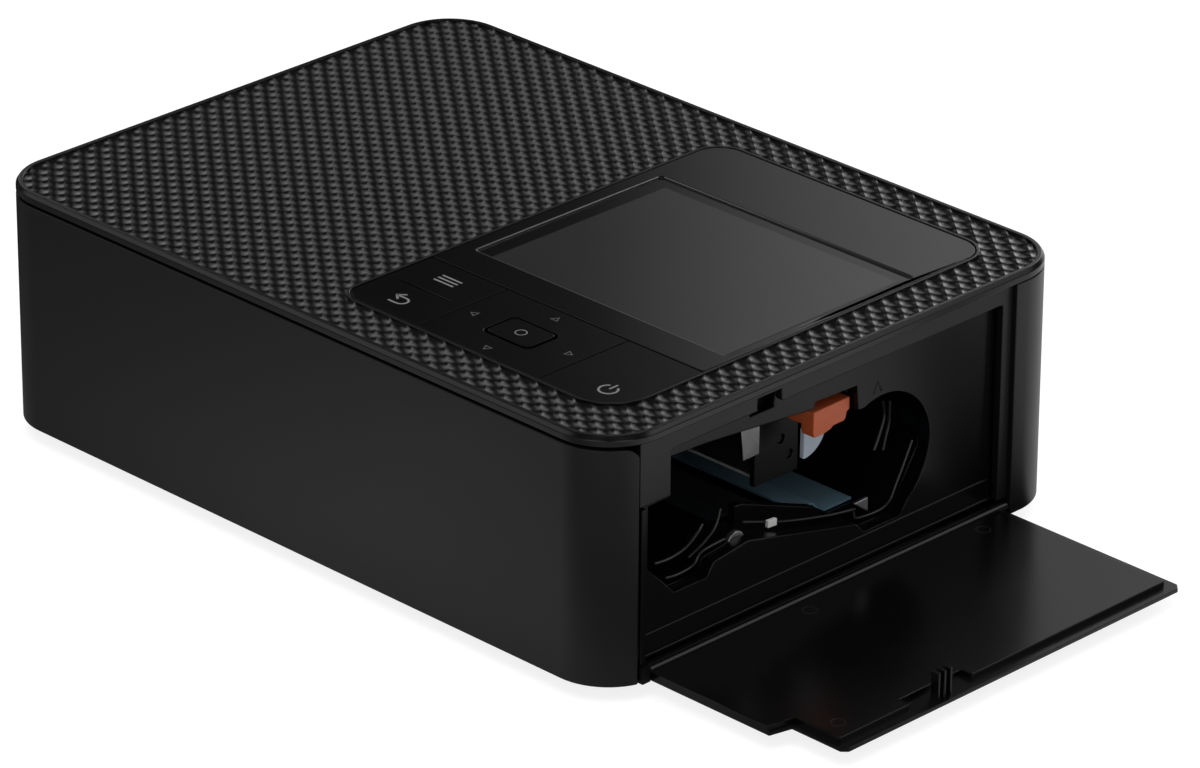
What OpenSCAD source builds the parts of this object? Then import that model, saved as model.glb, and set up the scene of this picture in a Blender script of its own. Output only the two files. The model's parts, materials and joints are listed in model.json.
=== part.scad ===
// Compact dye-sublimation photo printer with its ink-cassette door folded down.
// Millimetres. X runs along the long front, Y to the back, Z up from the table.
// Pieces are drawn about the body's own centre; place() moves them to the row's origin,
// which is the middle of the whole outline, open door included, at table height.

/* [Body] */
// Width of the body without the open door
body_w = 182.2; // [178:0.1:188]
// Depth of the body
body_d = 133; // [131:0.1:136]
// Height of the body on its feet
body_h = 57.6; // [57.4:0.1:60]
// Plan radius of the upright corners
corner_r = 13.2; // [12:0.1:14.5]
// Wall thickness of the casing
wall = 2; // [1.8:0.1:2.2]
// Height of the shell's lower edge over the table
foot_h = 3.4; // [3.2:0.1:3.6]
// Height of the lid's outer band
band_h = 2.2; // [2:0.1:2.4]
// Width of the bevel round the lid's top edge
bevel_in = 0.6; // [0.3:0.1:0.9]
// Drop of the bevel round the lid's top edge
bevel_down = 0.9; // [0.5:0.1:1.4]
// Shadow gap between the lid's band and the front cover
front_gap = 0.7; // [0.4:0.1:0.9]
// Seam between the lid's band and the casing
lid_seam = 0.2; // [0.1:0.05:0.3]

/* [Lid texture field] */
// Width of the smooth rim round the textured field
rim_w = 1.6; // [1.2:0.1:2.4]
// Depth of the textured field's valleys under the rim
field_drop = 0.7; // [0.5:0.05:0.8]
// Width of the smooth edge round the control panel
panel_edge = 0.7; // [0.5:0.1:1]

/* [Control panel] */
// Width of the panel
panel_w = 77; // [76:0.1:78]
// Distance of the panel from the body's right side
panel_side = 12.1; // [11.5:0.1:13]
// Distance of the panel from the body's front
panel_front = 12.6; // [12:0.1:13]
// Distance of the panel from the body's back
panel_back = 11.2; // [10.5:0.1:12]
// Depth of the row of keys in front of the window
keys_d = 25.6; // [25:0.1:27]
// Depth of the pocket that holds window and keys
panel_pocket = 1.4; // [1.3:0.05:1.5]
// Gap round the window and between the keys
key_gap = 0.3; // [0.2:0.05:0.4]
// Thickness of the key plates
key_t = 0.8; // [0.6:0.05:0.9]
// Width of the two-way key
key_left_w = 22.1; // [21:0.1:23]
// Width of the direction plate
key_mid_w = 34.2; // [33.5:0.1:35]
// Width of the centre button
ok_w = 12; // [10:0.1:13]
// Depth of the centre button
ok_d = 8.2; // [7:0.1:9]
// Gap round the centre button
ok_ring = 0.7; // [0.5:0.1:0.9]

/* [Ink bay] */
// Height of the rear lobe's centre over the table
lobe_z = 27.3; // [27:0.1:27.6]
// Radius of the rear lobe
lobe_r = 14.1; // [13.6:0.1:14.4]
// Setback of the band over the bay from the casing's side
band_back = 1.1; // [1:0.1:1.3]
// Setback of the bay frame from the casing's side
frame_back = 3.1; // [3:0.1:3.4]
// Thickness of the bay frame
frame_t = 3; // [2.6:0.1:3.2]
// Height of the upper sill ledge
sill_hi = 12.1; // [11:0.1:13]
// Height of the lower sill ledge
sill_lo = 7.7; // [7.4:0.1:8.4]

/* [Cassette door] */
// Thickness of the door plate
door_t = 2.1; // [1.9:0.1:2.2]
// Thickness of the door's thin lip
door_lip = 0.9; // [0.7:0.05:0.95]
// Drop of the closed door's edge under the body's top
door_drop = 4.1; // [3.4:0.1:4.8]
// Radius of the hinge barrels of both covers
hinge_r = 1.5; // [1.3:0.05:1.55]
// Radius of the hinge pins of both covers
pin_r = 0.8; // [0.6:0.05:0.9]
// Height of the latch fins over the door's inner face
fin_h = 4.7; // [4:0.1:5]
// Thickness of each latch fin
fin_t = 0.6; // [0.5:0.05:0.8]

/* [Rollers and drive] */
// Module of every gear
gear_m = 0.6; // [0.6:0.1:0.6]
// Backlash on the pitch circle
backlash = 0.12; // [0.1:0.01:0.15]
// Face width of the gears
gear_w = 2.4; // [2:0.1:2.6]
// Radius of the platen roller
platen_r = 5.2; // [4.8:0.1:5.3]
// Radius of the pickup roller
pickup_r = 5.4; // [5:0.1:5.5]
// Radius of the capstan roller
capstan_r = 3; // [2.8:0.1:3.1]
// Radius of the pinch roller
pinch_r = 2.9; // [2.6:0.1:3.1]
// Gap left between capstan and pinch roller for the paper
nip_gap = 0.25; // [0.2:0.05:0.4]
// Radius of the roller shafts
shaft_r = 2; // [1.8:0.1:2.1]
// Running clearance of every shaft and pin, on the radius
run_fit = 0.05; // [0.03:0.01:0.08]
// Radius of the motor body
motor_r = 11; // [10:0.1:11.4]
// Length of the motor body
motor_len = 28; // [24:0.5:30]

/* [Feet] */
// Radius of the rubber feet
foot_r = 5; // [4:0.1:6]
// Distance of the feet from the middle, along X
foot_x = 70; // [66:0.5:74]
// Distance of the feet from the middle, along Y
foot_y = 46; // [42:0.5:48]

/* [Hidden] */
$fn = 72;
eps = 0.02;
hw = body_w / 2;
hd = body_d / 2;
panel_x1 = hw - panel_side;
panel_x0 = panel_x1 - panel_w;
panel_y0 = -hd + panel_front;
panel_y1 = hd - panel_back;
panel_split = panel_y0 + keys_d;
seam_left = panel_x0 + key_left_w;
seam_right = seam_left + key_mid_w;
skirt_z = body_h - band_h;
casing_top = skirt_z - lid_seam;
cover_top = skirt_z - front_gap;
lid_plate = skirt_z;
inner_w = hw - wall;
inner_d = hd - wall;

// Colours
c_black = [0.07, 0.07, 0.08];
c_satin = [0.12, 0.12, 0.13];
c_gloss = [0.03, 0.03, 0.04];
c_steel = [0.6, 0.62, 0.65];
c_blue = [0.25, 0.32, 0.4];
c_orange = [0.95, 0.35, 0.08];
c_pale = [0.85, 0.9, 0.95];
c_rubber = [0.05, 0.05, 0.05];
c_board = [0.05, 0.28, 0.16];
c_white = [0.85, 0.85, 0.83];
c_alu = [0.72, 0.73, 0.75];
c_copper = [0.8, 0.5, 0.25];

// Covers and their hinges
hinge_z = foot_h + hinge_r;
door_x = hw - hinge_r;
door_reach = body_h - door_drop - hinge_z;
door_out = door_x + door_reach;
cover_hinge_y = -hd + 4;
cover_end_y = -hd + 9.1;
casing_front_y = cover_end_y + 0.5;
frame_x = hw - frame_back;
band_x = hw - band_back;
shift_x = (door_out - hw) / 2;

// Window in the casing's right side
bay_y0 = cover_end_y + 9;
bay_y1 = hd - 19.3;
bay_top = body_h - 6.3;
shoulder_z = 41.4;
pillar_y = bay_y1 + 2.9;
strip_t = 1.8;
slot_y0 = -24.4;
slot_y1 = -17.4;
slot_z0 = bay_top - 2.1;
latch_y = [-21.4, -19.7, -18];

// Ink bay outline in Y and Z; its front, rear and upper points keep to three anchors
lobe_y = bay_y1 - 33.1;
front_lobe = [bay_y0 + 10.4, 35];
fy = bay_y0 + 48.4;
ry = lobe_y - 14.1;
tz = bay_top - 51.3;
function put(p) = [p[0] + (p[0] < -24.1 ? fy : ry), p[1] + (p[1] > 37.9 ? tz : 0)];
mouth = [for (p = [[-46.2, 48.4], [-36.6, 47.8], [-6.2, 45], [-5.6, 46.4], [6.4, 46], [6.8, 40.4], [14.1, 40],
  [27.4, 23.2], [20, 12.6], [9.4, 12.6], [7, 15.2], [-24.2, 22.4], [-34, 21.2], [-36, 18.4],
  [-45, 18.4], [-52.5, 26], [-52.5, 39.6], [-46.2, 39.6]]) put(p)];
fall = 7.2 / (31.1 + ry - fy);
function floor_z(y) = 22.2 - fall * (y + 24.2 - fy);
trough = [for (p = [[-53.1, 38.6], [-53.1, 26.2], [-45.4, 18.2], [-35.9, 18.2], [-33.9, 21], [-24.2, 22.2],
  [6.9, 15], [9.3, 12.4], [20.1, 12.4], [28.4, 24.6], [28.6, 29]]) put(p)];
cradle_t = 1.1;
bay_left = hw - 126.7;
cradle_right = frame_x - frame_t - 0.2;
lever_x = frame_x - 1.5;

// Chassis plates
plate_t = 1.2;
left_x = bay_left - 2.4;
right_x = frame_x - frame_t - 2.4;
plate_grow = 1.9;

// Gear train, in Y and Z
z_platen = 20;
z_take = 63;
z_cap = 22;
z_idle = 21;
z_pick = 20;
z_small = 17;
z_large = 48;
z_pin = 17;
function centre_gap(a, b) = gear_m * (a + b) / 2;
take = [lobe_y, lobe_z];
platen_z = 12.7;
d_tp = centre_gap(z_take, z_platen);
platen = [lobe_y - sqrt(d_tp * d_tp - pow(lobe_z - platen_z, 2)), platen_z];
cap_z = 13;
d_tc = centre_gap(z_take, z_cap);
cap = [lobe_y + sqrt(d_tc * d_tc - pow(lobe_z - cap_z, 2)), cap_z];
a_tr = asin((skirt_z - 1.1 - gear_m * (z_large / 2 + 1) - take[1])
  / centre_gap(z_take, z_small));
reduce = take + centre_gap(z_take, z_small) * [cos(a_tr), sin(a_tr)];
a_rm = -35;
motor = reduce + centre_gap(z_large, z_pin) * [cos(a_rm), sin(a_rm)];
a_pi = 175.5;
idle = platen + centre_gap(z_platen, z_idle) * [cos(a_pi), sin(a_pi)];
a_ik = 176.5;
pick = idle + centre_gap(z_idle, z_pick) * [cos(a_ik), sin(a_ik)];
pinch = cap + [0, capstan_r + nip_gap + pinch_r];
supply = front_lobe;
g1_x = left_x - 1 - gear_w;
g2_x = g1_x - 0.8 - gear_w;
function angle_to(a, b) = atan2(b[1] - a[1], b[0] - a[0]);
function meshed(th, pa, na, nb) = th + 180 - (na / nb) * (pa - th) - 180 / nb;
ph_take = 0;
ph_platen = meshed(angle_to(take, platen), ph_take, z_take, z_platen);
ph_cap = meshed(angle_to(take, cap), ph_take, z_take, z_cap);
ph_small = meshed(angle_to(take, reduce), ph_take, z_take, z_small);
ph_large = 0;
ph_pin = meshed(angle_to(reduce, motor), ph_large, z_large, z_pin);
ph_idle = meshed(angle_to(platen, idle), ph_platen, z_platen, z_idle);
ph_pick = meshed(angle_to(idle, pick), ph_idle, z_idle, z_pick);

// Rollers along X
roll_x0 = bay_left + 7.6;
roll_x1 = hw - 14.1;
shaft_x0 = g1_x - 0.6;
shaft_x1 = frame_x - frame_t - 0.5;
bush_r = shaft_r + 0.7;
bush_over = 0.6;
post_r = 1.5;

// Print head
head_pivot = [bay_y0 + 4.4, 49.9 + tz];
pivot_r = 1.5;
head_y0 = ry - 9.2;
head_y1 = ry + 3.4;
head_z0 = 24.2;
head_z1 = 43.6 + tz;
head_x0 = roll_x0 - 2;
head_x1 = roll_x1 - 2;
head_room = 4.8;

// Lid and keys
pocket_z = body_h - panel_pocket;
ledge_t = pocket_z - lid_plate;
key_z0 = body_h - 0.2 - key_t;
window_top = body_h - 0.1;
ok_x = panel_x0 + 39;
ok_y = panel_y0 + 12.8;
key_x = panel_x0 + 11;
key_up_y = panel_y0 + 19.6;
key_dn_y = panel_y0 + 6.7;
key_mid_y = (key_up_y + key_dn_y) / 2;
power_x = panel_x1 - 7.5;
power_y = panel_y0 + 6.9;
dirs = [[ok_x + 0.2, ok_y + 9.4], [ok_x + 0.2, ok_y - 9.6], [ok_x - 13, ok_y - 0.3],
  [ok_x + 13.4, ok_y]];
stem_r = 1.4;
stem_hole = 2;
stem_z0 = lid_plate - 0.8;
tilt_z = lid_plate + 0.4;
board_z = lid_plate - 2.7;
board_t = 1;
dome_h = 0.5;
tray_z = board_z - 1.1;
radii = [5, 9.5, 7, 6.5];

// Left side and back
main_z = 10;
main_t = 1.6;
card_y = [-34, -8];
usb_y = [2, 11.4];
jack_x = -hw + 21.1;
jack_z = 17.4;
slot_x = [roll_x0, roll_x1 + 3];
slot_z = [6.7, 11.9];
cass_x = [roll_x0 - 6, roll_x1 + 7];
cass_z1 = 16.6;
bosses = [[-hw + 5.9, -44], [-hw + 5.9, 40], [left_x - 4.5, hd - 5.9], [hw - 7.9, hd - 8.3]];
guide_x = [roll_x0 - 1.5, roll_x1 + 2];
board_x0 = -hw + 10.6;
board_x1 = left_x - 12;
board_y0 = -hd + 14.5;
board_y1 = hd - 13.5;
function on_board(t) = board_x0 + t * (board_x1 - board_x0);
card_x1 = on_board(0.6);
pillars = [for (t = [0.148, 0.869], y = [board_y0 + 4, board_y1 - 5]) [on_board(t), y]];

// ---- helpers ----
module place() {
  translate([-shift_x, 0, 0]) children();
}

module box(x0, x1, y0, y1, z0, z1) {
  translate([x0, y0, z0]) cube([x1 - x0, y1 - y0, z1 - z0]);
}

module slab2(x0, x1, y0, y1, r) {
  // r lists the corner radii: front left, front right, back right, back left
  polygon([[x0 + r[0], y0], [x1 - r[1], y0], [x1, y0 + r[1]], [x1, y1 - r[2]],
    [x1 - r[2], y1], [x0 + r[3], y1], [x0, y1 - r[3]], [x0, y0 + r[0]]]);
  translate([x0 + r[0], y0 + r[0]]) circle(r = r[0]);
  translate([x1 - r[1], y0 + r[1]]) circle(r = r[1]);
  translate([x1 - r[2], y1 - r[2]]) circle(r = r[2]);
  translate([x0 + r[3], y1 - r[3]]) circle(r = r[3]);
}

module slab(x0, x1, y0, y1, z0, z1, r) {
  translate([0, 0, z0]) linear_extrude(z1 - z0) slab2(x0, x1, y0, y1, r);
}

module shell(inset, z0, z1) {
  r = corner_r - inset;
  slab(-hw + inset, hw - inset, -hd + inset, hd - inset, z0, z1, [r, r, r, r]);
}

module along_x(x0, x1) {
  translate([x0, 0, 0]) rotate([90, 0, 90]) linear_extrude(x1 - x0) children();
}

module along_y(y0, y1) {
  translate([0, y1, 0]) rotate([90, 0, 0]) linear_extrude(y1 - y0) children();
}

module rod_x(x0, x1, at, r) {
  translate([x0, at[0], at[1]]) rotate([0, 90, 0]) cylinder(h = x1 - x0, r = r);
}

module rod_y(y0, y1, x, z, r) {
  translate([x, y1, z]) rotate([90, 0, 0]) cylinder(h = y1 - y0, r = r);
}

module rod_z(x, y, z0, z1, r) {
  translate([x, y, z0]) cylinder(h = z1 - z0, r = r);
}

// Offset of an open line of points to its right-hand side, with mitred corners
function unit(v) = v / norm(v);
function right_of(v) = [v[1], -v[0]];
function dir_at(p, i) = unit(p[min(i + 1, len(p) - 1)] - p[min(i, len(p) - 2)]);
function side_pt(p, i, t) =
  let (a = right_of(dir_at(p, max(i - 1, 0))), b = right_of(dir_at(p, i)))
  p[i] + (a + b) * t / (1 + a * b);
function strip(p, t) = concat(p, [for (i = [len(p) - 1 : -1 : 0]) side_pt(p, i, t)]);

// Involute spur gear outline
function inv_at(a) = tan(a) - a * PI / 180;
function flank(r, rb, rp, n) =
  let (a = r > rb ? acos(rb / r) : 0)
  (PI / 2 / n - backlash / 4 / rp + inv_at(20) - inv_at(a)) * 180 / PI;
module gear2(n, phase) {
  rp = gear_m * n / 2;
  rb = rp * cos(20);
  ra = rp + gear_m;
  rf = rp - 1.25 * gear_m;
  rs = [rf, max(rf + 0.02, rb), (max(rf, rb) + rp) / 2, rp, (rp + ra) / 2, ra];
  pts = [for (k = [0 : n - 1]) for (s = [-1, 1]) for (i = [0 : 5])
    let (j = s < 0 ? i : 5 - i, a = phase + k * 360 / n + s * flank(rs[j], rb, rp, n))
    [rs[j] * cos(a), rs[j] * sin(a)]];
  polygon(pts);
}

module gear(n, phase, at, x0, bore) {
  difference() {
    along_x(x0, x0 + gear_w) translate(at) gear2(n, phase);
    rod_x(x0 - 1, x0 + gear_w + 1, at, bore);
  }
}

// Coil of round wire as one closed tube
module coil(r, wire, pitch, turns, rings = 8, sides = 6) {
  n = turns * rings;
  pts = [for (i = [0 : n]) let (a = i * 360 / rings, h = pitch * i / rings)
    for (j = [0 : sides - 1]) let (b = j * 360 / sides, q = r + wire * cos(b))
    [q * cos(a), q * sin(a), h + wire * sin(b)]];
  walls = [for (i = [0 : n - 1]) for (j = [0 : sides - 1])
    let (k = (j + 1) % sides)
    [i * sides + j, i * sides + k, (i + 1) * sides + k, (i + 1) * sides + j]];
  caps = [[for (j = [sides - 1 : -1 : 0]) j], [for (j = [0 : sides - 1]) n * sides + j]];
  polyhedron(points = pts, faces = concat(walls, caps), convexity = 8);
}

// ---- outer shell ----
module lid_blank(r, z0, z1, inset, down) {
  // rounded slab with a bevelled top edge
  shell(0, z0, z1 - down);
  difference() {
    union() {
      along_x(-hw + r, hw - r) polygon([[-hd, z1 - down - eps], [hd, z1 - down - eps],
        [hd, z1 - down], [hd - inset, z1], [-hd + inset, z1], [-hd, z1 - down]]);
      along_y(-hd + r, hd - r) polygon([[-hw, z1 - down - eps], [hw, z1 - down - eps],
        [hw, z1 - down], [hw - inset, z1], [-hw + inset, z1], [-hw, z1 - down]]);
      for (sx = [-1, 1], sy = [-1, 1])
        translate([sx * (hw - r), sy * (hd - r), z1 - down - eps])
          union() {
            cylinder(h = eps, r = r);
            translate([0, 0, eps]) cylinder(h = down, r1 = r, r2 = r - inset);
          }
    }
  }
}

module top_cover() color(c_satin) place() {
  difference() {
    lid_blank(corner_r, skirt_z, body_h, bevel_in, bevel_down);
    // textured field, with a smooth edge left round the panel
    difference() {
      shell(rim_w, body_h - field_drop, body_h + 1);
      slab(panel_x0 - panel_edge, panel_x1 + panel_edge, panel_y0 - panel_edge,
        panel_y1 + panel_edge, body_h - field_drop - 1, body_h + 2,
        [for (q = radii) q + panel_edge]);
    }
    slab(panel_x0, panel_x1, panel_y0, panel_y1, pocket_z, body_h + 1, radii);
    // screen opening and holes for the key stems
    box(panel_x0 + 6, panel_x1 - 1.8, panel_split + 6.7, panel_y1 - 22.7, skirt_z - 1,
      pocket_z + 1);
    rod_z(key_x, key_up_y, skirt_z - 1, pocket_z + 1, stem_hole);
    rod_z(key_x, key_dn_y, skirt_z - 1, pocket_z + 1, stem_hole);
    rod_z(power_x, power_y, skirt_z - 1, pocket_z + 1, stem_hole);
    for (d = dirs) rod_z(d[0], d[1], skirt_z - 1, pocket_z + 1, stem_hole);
    rod_z(ok_x, ok_y, skirt_z - 1, pocket_z + 1, 7.4);
  }
}

module front_cover() color(c_satin) place() {
  skin_in = -hd + wall;
  difference() {
    shell(0, foot_h, cover_top);
    shell(wall, foot_h - 1, cover_top + 1);
    box(-hw - 1, hw + 1, cover_end_y, hd + 1, foot_h - 1, cover_top + 1);
    // small round on the upper corner of each side end
    for (s = [-1, 1]) difference() {
      translate([s * hw, cover_end_y - 3, cover_top - 3]) box(-8, 8, 0, 4, 0, 4);
      rod_x(s * hw - 9, s * hw + 9, [cover_end_y - 3, cover_top - 3], 3);
    }
  }
  for (s = [-1, 1]) {
    x0 = s > 0 ? 48 : -59.4;
    box(x0, x0 + 11.4, skin_in - 0.2, cover_hinge_y, hinge_z - hinge_r, hinge_z + hinge_r);
    rod_x(x0, x0 + 11.4, [cover_hinge_y, hinge_z], hinge_r);
    p0 = s > 0 ? 59.3 : -62.9;
    rod_x(p0, p0 + 3.6, [cover_hinge_y, hinge_z], pin_r);
    box(s * 43 - 3, s * 43 + 3, skin_in - 0.2, skin_in + 2.6, cover_top - 4.4, cover_top - 3);
    box(s * 43 - 3, s * 43 + 3, skin_in + 1.8, skin_in + 2.6, cover_top - 5.2, cover_top - 3);
  }
}

module main_casing() color(c_satin) place() {
  difference() {
    union() {
      difference() {
        shell(0, foot_h, casing_top);
        shell(wall, foot_h - 1, casing_top + 1);
        box(-hw - 1, hw + 1, -hd - 1, casing_front_y, foot_h - 1, casing_top + 1);
        box(inner_w - 2, hw + 1, -hd, pillar_y, foot_h - 1, casing_top + 1);
      }
      // set-back plate over and beside the ink bay
      difference() {
        box(band_x - strip_t, band_x, casing_front_y, pillar_y + 1.4, foot_h + 3.6, casing_top);
        along_x(band_x - strip_t - 1, band_x + 1)
          slab2(bay_y0, bay_y1, -2, bay_top, [1, 1, 0.8, 0.8]);
        box(band_x - strip_t - 1, band_x + 1, casing_front_y - 1, bay_y0 + 2,
          foot_h + 2, shoulder_z);
        box(band_x - strip_t - 1, band_x + 1, slot_y0, slot_y1, bay_top - 1, casing_top - 1.2);
      }
      box(band_x - strip_t, hw - 0.6, pillar_y, pillar_y + 1.4, foot_h + 3.6, casing_top);
      // boss that takes the door's rear pin
      box(door_x - 2.1, hw - 0.3, pillar_y, pillar_y + 3.6, foot_h, foot_h + 4.2);
      for (b = bosses) intersection() {
        rod_z(b[0], b[1], foot_h + wall, 16, 4);
        shell(wall - 0.3, foot_h, casing_top);
      }
    }
    rod_y(pillar_y - 1, pillar_y + 3, door_x, hinge_z, pin_r + run_fit);
    for (b = bosses) rod_z(b[0], b[1], foot_h, 18, 1.3);
    // rear paper slot
    along_y(inner_d - 1, hd + 1) slab2(slot_x[0], slot_x[1], slot_z[0], slot_z[1], [1, 1, 1, 1]);
    // openings for card, plug and power
    along_x(-hw - 1, -inner_w + 1)
      slab2(card_y[0] - 0.3, card_y[1] + 0.3, 11.4, 15.4, [0.6, 0.6, 0.6, 0.6]);
    along_x(-hw - 1, -inner_w + 1)
      slab2(usb_y[0] - 0.3, usb_y[1] + 0.3, 11.4, 15.3, [0.8, 0.8, 0.8, 0.8]);
    rod_y(inner_d - 1, hd + 1, jack_x, jack_z, 5.2);
    // vents on the left and the back
    for (i = [0 : 8]) box(-hw - 1, -inner_w + 1, 14 + i * 3.4, 15.6 + i * 3.4, 30, 46);
    for (i = [0 : 9]) box(-hw + 19.1 + i * 3.4, -hw + 20.7 + i * 3.4, inner_d - 1, hd + 1, 32, 46);
  }
}

module base_pan() color(c_black) place() {
  pan_x = hw - 3.7;
  difference() {
    union() {
      intersection() {
        shell(wall + 0.3, foot_h, foot_h + wall);
        box(-hw, pan_x, cover_hinge_y + 2.2, hd, foot_h, foot_h + wall);
      }
      // lug for the door's front pin
      box(pan_x - 1, hw, casing_front_y, cover_end_y + 2.7, foot_h, foot_h + 3.2);
      // lugs for the front cover's pins
      for (s = [-1, 1]) {
        x0 = s > 0 ? 59.8 : -63.8;
        rod_x(x0, x0 + 4, [cover_hinge_y, hinge_z], hinge_r + 0.1);
        box(x0, x0 + 4, cover_hinge_y, cover_hinge_y + 3, foot_h - 0.1, foot_h + wall + 1.1);
      }
      // pillars under the main board
      for (p = pillars) rod_z(p[0], p[1], foot_h + 1, main_z, 2.6);
    }
    rod_y(cover_end_y - 0.1, cover_end_y + 3.4, door_x, hinge_z, pin_r + run_fit);
    for (s = [-1, 1]) rod_x(s * 61.8 - 3, s * 61.8 + 3, [cover_hinge_y, hinge_z], pin_r + run_fit);
    for (b = bosses) {
      rod_z(b[0], b[1], foot_h - 1, foot_h + wall + 1, 1.5);
      rod_z(b[0], b[1], foot_h - 1, foot_h + 1.2, 2.9);
    }
    for (p = pillars) rod_z(p[0], p[1], foot_h + wall, main_z + 1, 0.9);
    for (sx = [-1, 1], sy = [-1, 1])
      rod_z(sx * foot_x, sy * foot_y, foot_h - 1, foot_h + 0.65, foot_r - 0.55);
    // air slits
    for (i = [0 : 7]) box(-70 + i * 3.4, -68.4 + i * 3.4, -30, -4, foot_h - 1, foot_h + 3);
  }
}

module rubber_feet() color(c_rubber) place() {
  for (sx = [-1, 1], sy = [-1, 1]) {
    translate([sx * foot_x, sy * foot_y, 0]) cylinder(h = 0.6, r1 = foot_r - 0.6, r2 = foot_r);
    rod_z(sx * foot_x, sy * foot_y, 0.6, foot_h, foot_r);
    rod_z(sx * foot_x, sy * foot_y, foot_h, foot_h + 0.6, foot_r - 0.6);
  }
}

module base_screws() color(c_steel) place() {
  for (b = bosses) {
    difference() {
      rod_z(b[0], b[1], foot_h + 0.1, foot_h + 1.2, 2.6);
      for (a = [0, 90]) translate([b[0], b[1], foot_h]) rotate([0, 0, a])
        box(-1.6, 1.6, -0.3, 0.3, -1, 0.7);
    }
    rod_z(b[0], b[1], foot_h + 1.2, 14, 1.3);
  }
}

module front_fascia() color(c_black) place() {
  difference() {
    intersection() {
      difference() {
        shell(3.9, hinge_z + 2.7, casing_top - 0.6);
        shell(5.9, foot_h, casing_top + 1);
      }
      union() {
        box(-hw, 0, -hd, cover_end_y + 5.4, 0, body_h);
        box(0, hw, -hd, cover_end_y, 0, body_h);
      }
    }
    box(cass_x[0], cass_x[1], -hd, cover_end_y + 7.4, 0, cass_z1);
    for (s = [-1, 1]) box(s * 43 - 3.6, s * 43 + 3.6, -hd, -hd + 8.5,
      cover_top - 5.8, cover_top - 2.4);
  }
  // side posts that stand on the base
  for (x = [-hw + 24.1, cass_x[0] - 2.6]) box(x, x + 2, -hd + 4.9, -hd + 8, foot_h + wall, 18);
}

module mouth_cut(x0, x1, grow) {
  // the ink bay's outline: two lobes, the neck between them and the lever's pocket
  along_x(x0, x1) {
    if (grow > 0) offset_line(grow);
    else polygon(mouth);
    translate([lobe_y, lobe_z]) circle(r = lobe_r + grow);
  }
}

// the outline grown by a fixed amount, as straight pieces
module offset_line(t) {
  n = len(mouth);
  polygon([for (i = [0 : n - 1])
    let (p0 = mouth[(i + n - 1) % n], p1 = mouth[i], p2 = mouth[(i + 1) % n],
      a = -right_of(unit(p1 - p0)), b = -right_of(unit(p2 - p1)),
      k = max(0.35, 1 + a * b))
    p1 + (a + b) * t / k]);
}

module bay_frame() color(c_satin) place() {
  x0 = frame_x - frame_t;
  difference() {
    union() {
      box(x0, frame_x, cover_end_y + 0.8, pillar_y - 0.3, foot_h + 3.5, lid_plate - 2.4);
      // sill ledges and the upright rib by the front cover
      box(x0, frame_x + 0.3, cover_end_y + 3, bay_y1 - 0.3, foot_h + 3.5, sill_hi);
      box(x0, frame_x + 0.6, cover_end_y + 3, bay_y1 - 0.3, foot_h + 3.5, sill_lo);
      box(x0, band_x, cover_end_y + 1, cover_end_y + 2.6, foot_h + 3.5, shoulder_z - 0.8);
    }
    mouth_cut(x0 - 1, frame_x + 2, 0);
    box(x0 - 1, frame_x + 1, slot_y0, slot_y1, slot_z0, 60);
  }
  // plain arrow by the eject lever
  translate([0, ry + 12.4, lobe_z + lobe_r + 2.5]) along_x(frame_x - 0.2, frame_x + 0.15)
    polygon([[-1.5, -1.3], [-0.9, -1.3], [0, 0.4], [0.9, -1.3], [1.5, -1.3], [0, 1.5]]);
}

module cassette_door() color(c_satin) place() {
  z0 = hinge_z - hinge_r;
  z_in = z0 + door_t;
  z_lip = z0 + door_lip;
  y_f = cover_end_y + 2.9;
  y_b = pillar_y - 0.6;
  y_th = bay_y1 - 0.3;
  notch_x = door_x + 33.4;
  x_th = door_x + bay_top - hinge_z - 0.4;
  difference() {
    union() {
      translate([0, 0, z0]) linear_extrude(door_lip)
        polygon([[door_x, y_f], [notch_x, y_f], [notch_x + 1.2, bay_y0 - 1],
          [door_out - 1.2, bay_y0 - 1], [door_out, bay_y0 + 0.2], [door_out, y_b - 1.4],
          [door_out - 1.4, y_b], [door_x, y_b]]);
      translate([0, 0, z0]) linear_extrude(door_t)
        polygon([[door_x, y_f], [notch_x - 0.4, y_f], [notch_x + 0.8, bay_y0 + 0.4],
          [x_th, bay_y0 + 0.4], [x_th, y_th], [door_x, y_th]]);
      rod_y(y_f + 0.2, y_b + 0.3, door_x, hinge_z, hinge_r);
      rod_y(cover_end_y + 1.1, pillar_y + 2.6, door_x, hinge_z, pin_r);
    }
    box(x_th - 3, door_out + 1, -28.2, -10.4, z_lip, z_in + 1);
  }
  for (y = latch_y) {
    box(x_th - 0.8, x_th + 1.4, y - fin_t / 2, y + fin_t / 2, z_lip - 0.1, z_in + fin_h);
    box(x_th - 1.1, x_th + 1.4, y - fin_t / 2, y + fin_t / 2, z_in + fin_h - 0.8, z_in + fin_h);
  }
}

// ---- control panel ----
module panel_window() color(c_gloss) place() {
  g = key_gap;
  slab(panel_x0 + g, panel_x1 - g, panel_split + g / 2, panel_y1 - g, pocket_z, window_top,
    [0.5, 0.5, radii[2] - g, radii[3] - g]);
}

module lcd_module() color(c_gloss) place() {
  x0 = panel_x0 + 7;
  x1 = panel_x1 - 2.6;
  y0 = panel_split + 7.5;
  y1 = panel_y1 - 23.5;
  box(x0, x1, y0, y1, lid_plate - 0.4, pocket_z - 0.1);
  box(x0 - 3.5, x1 + 1.2, y0 - 3.2, y1 + 3.2, board_z + 0.2, lid_plate - 0.2);
}

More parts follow.
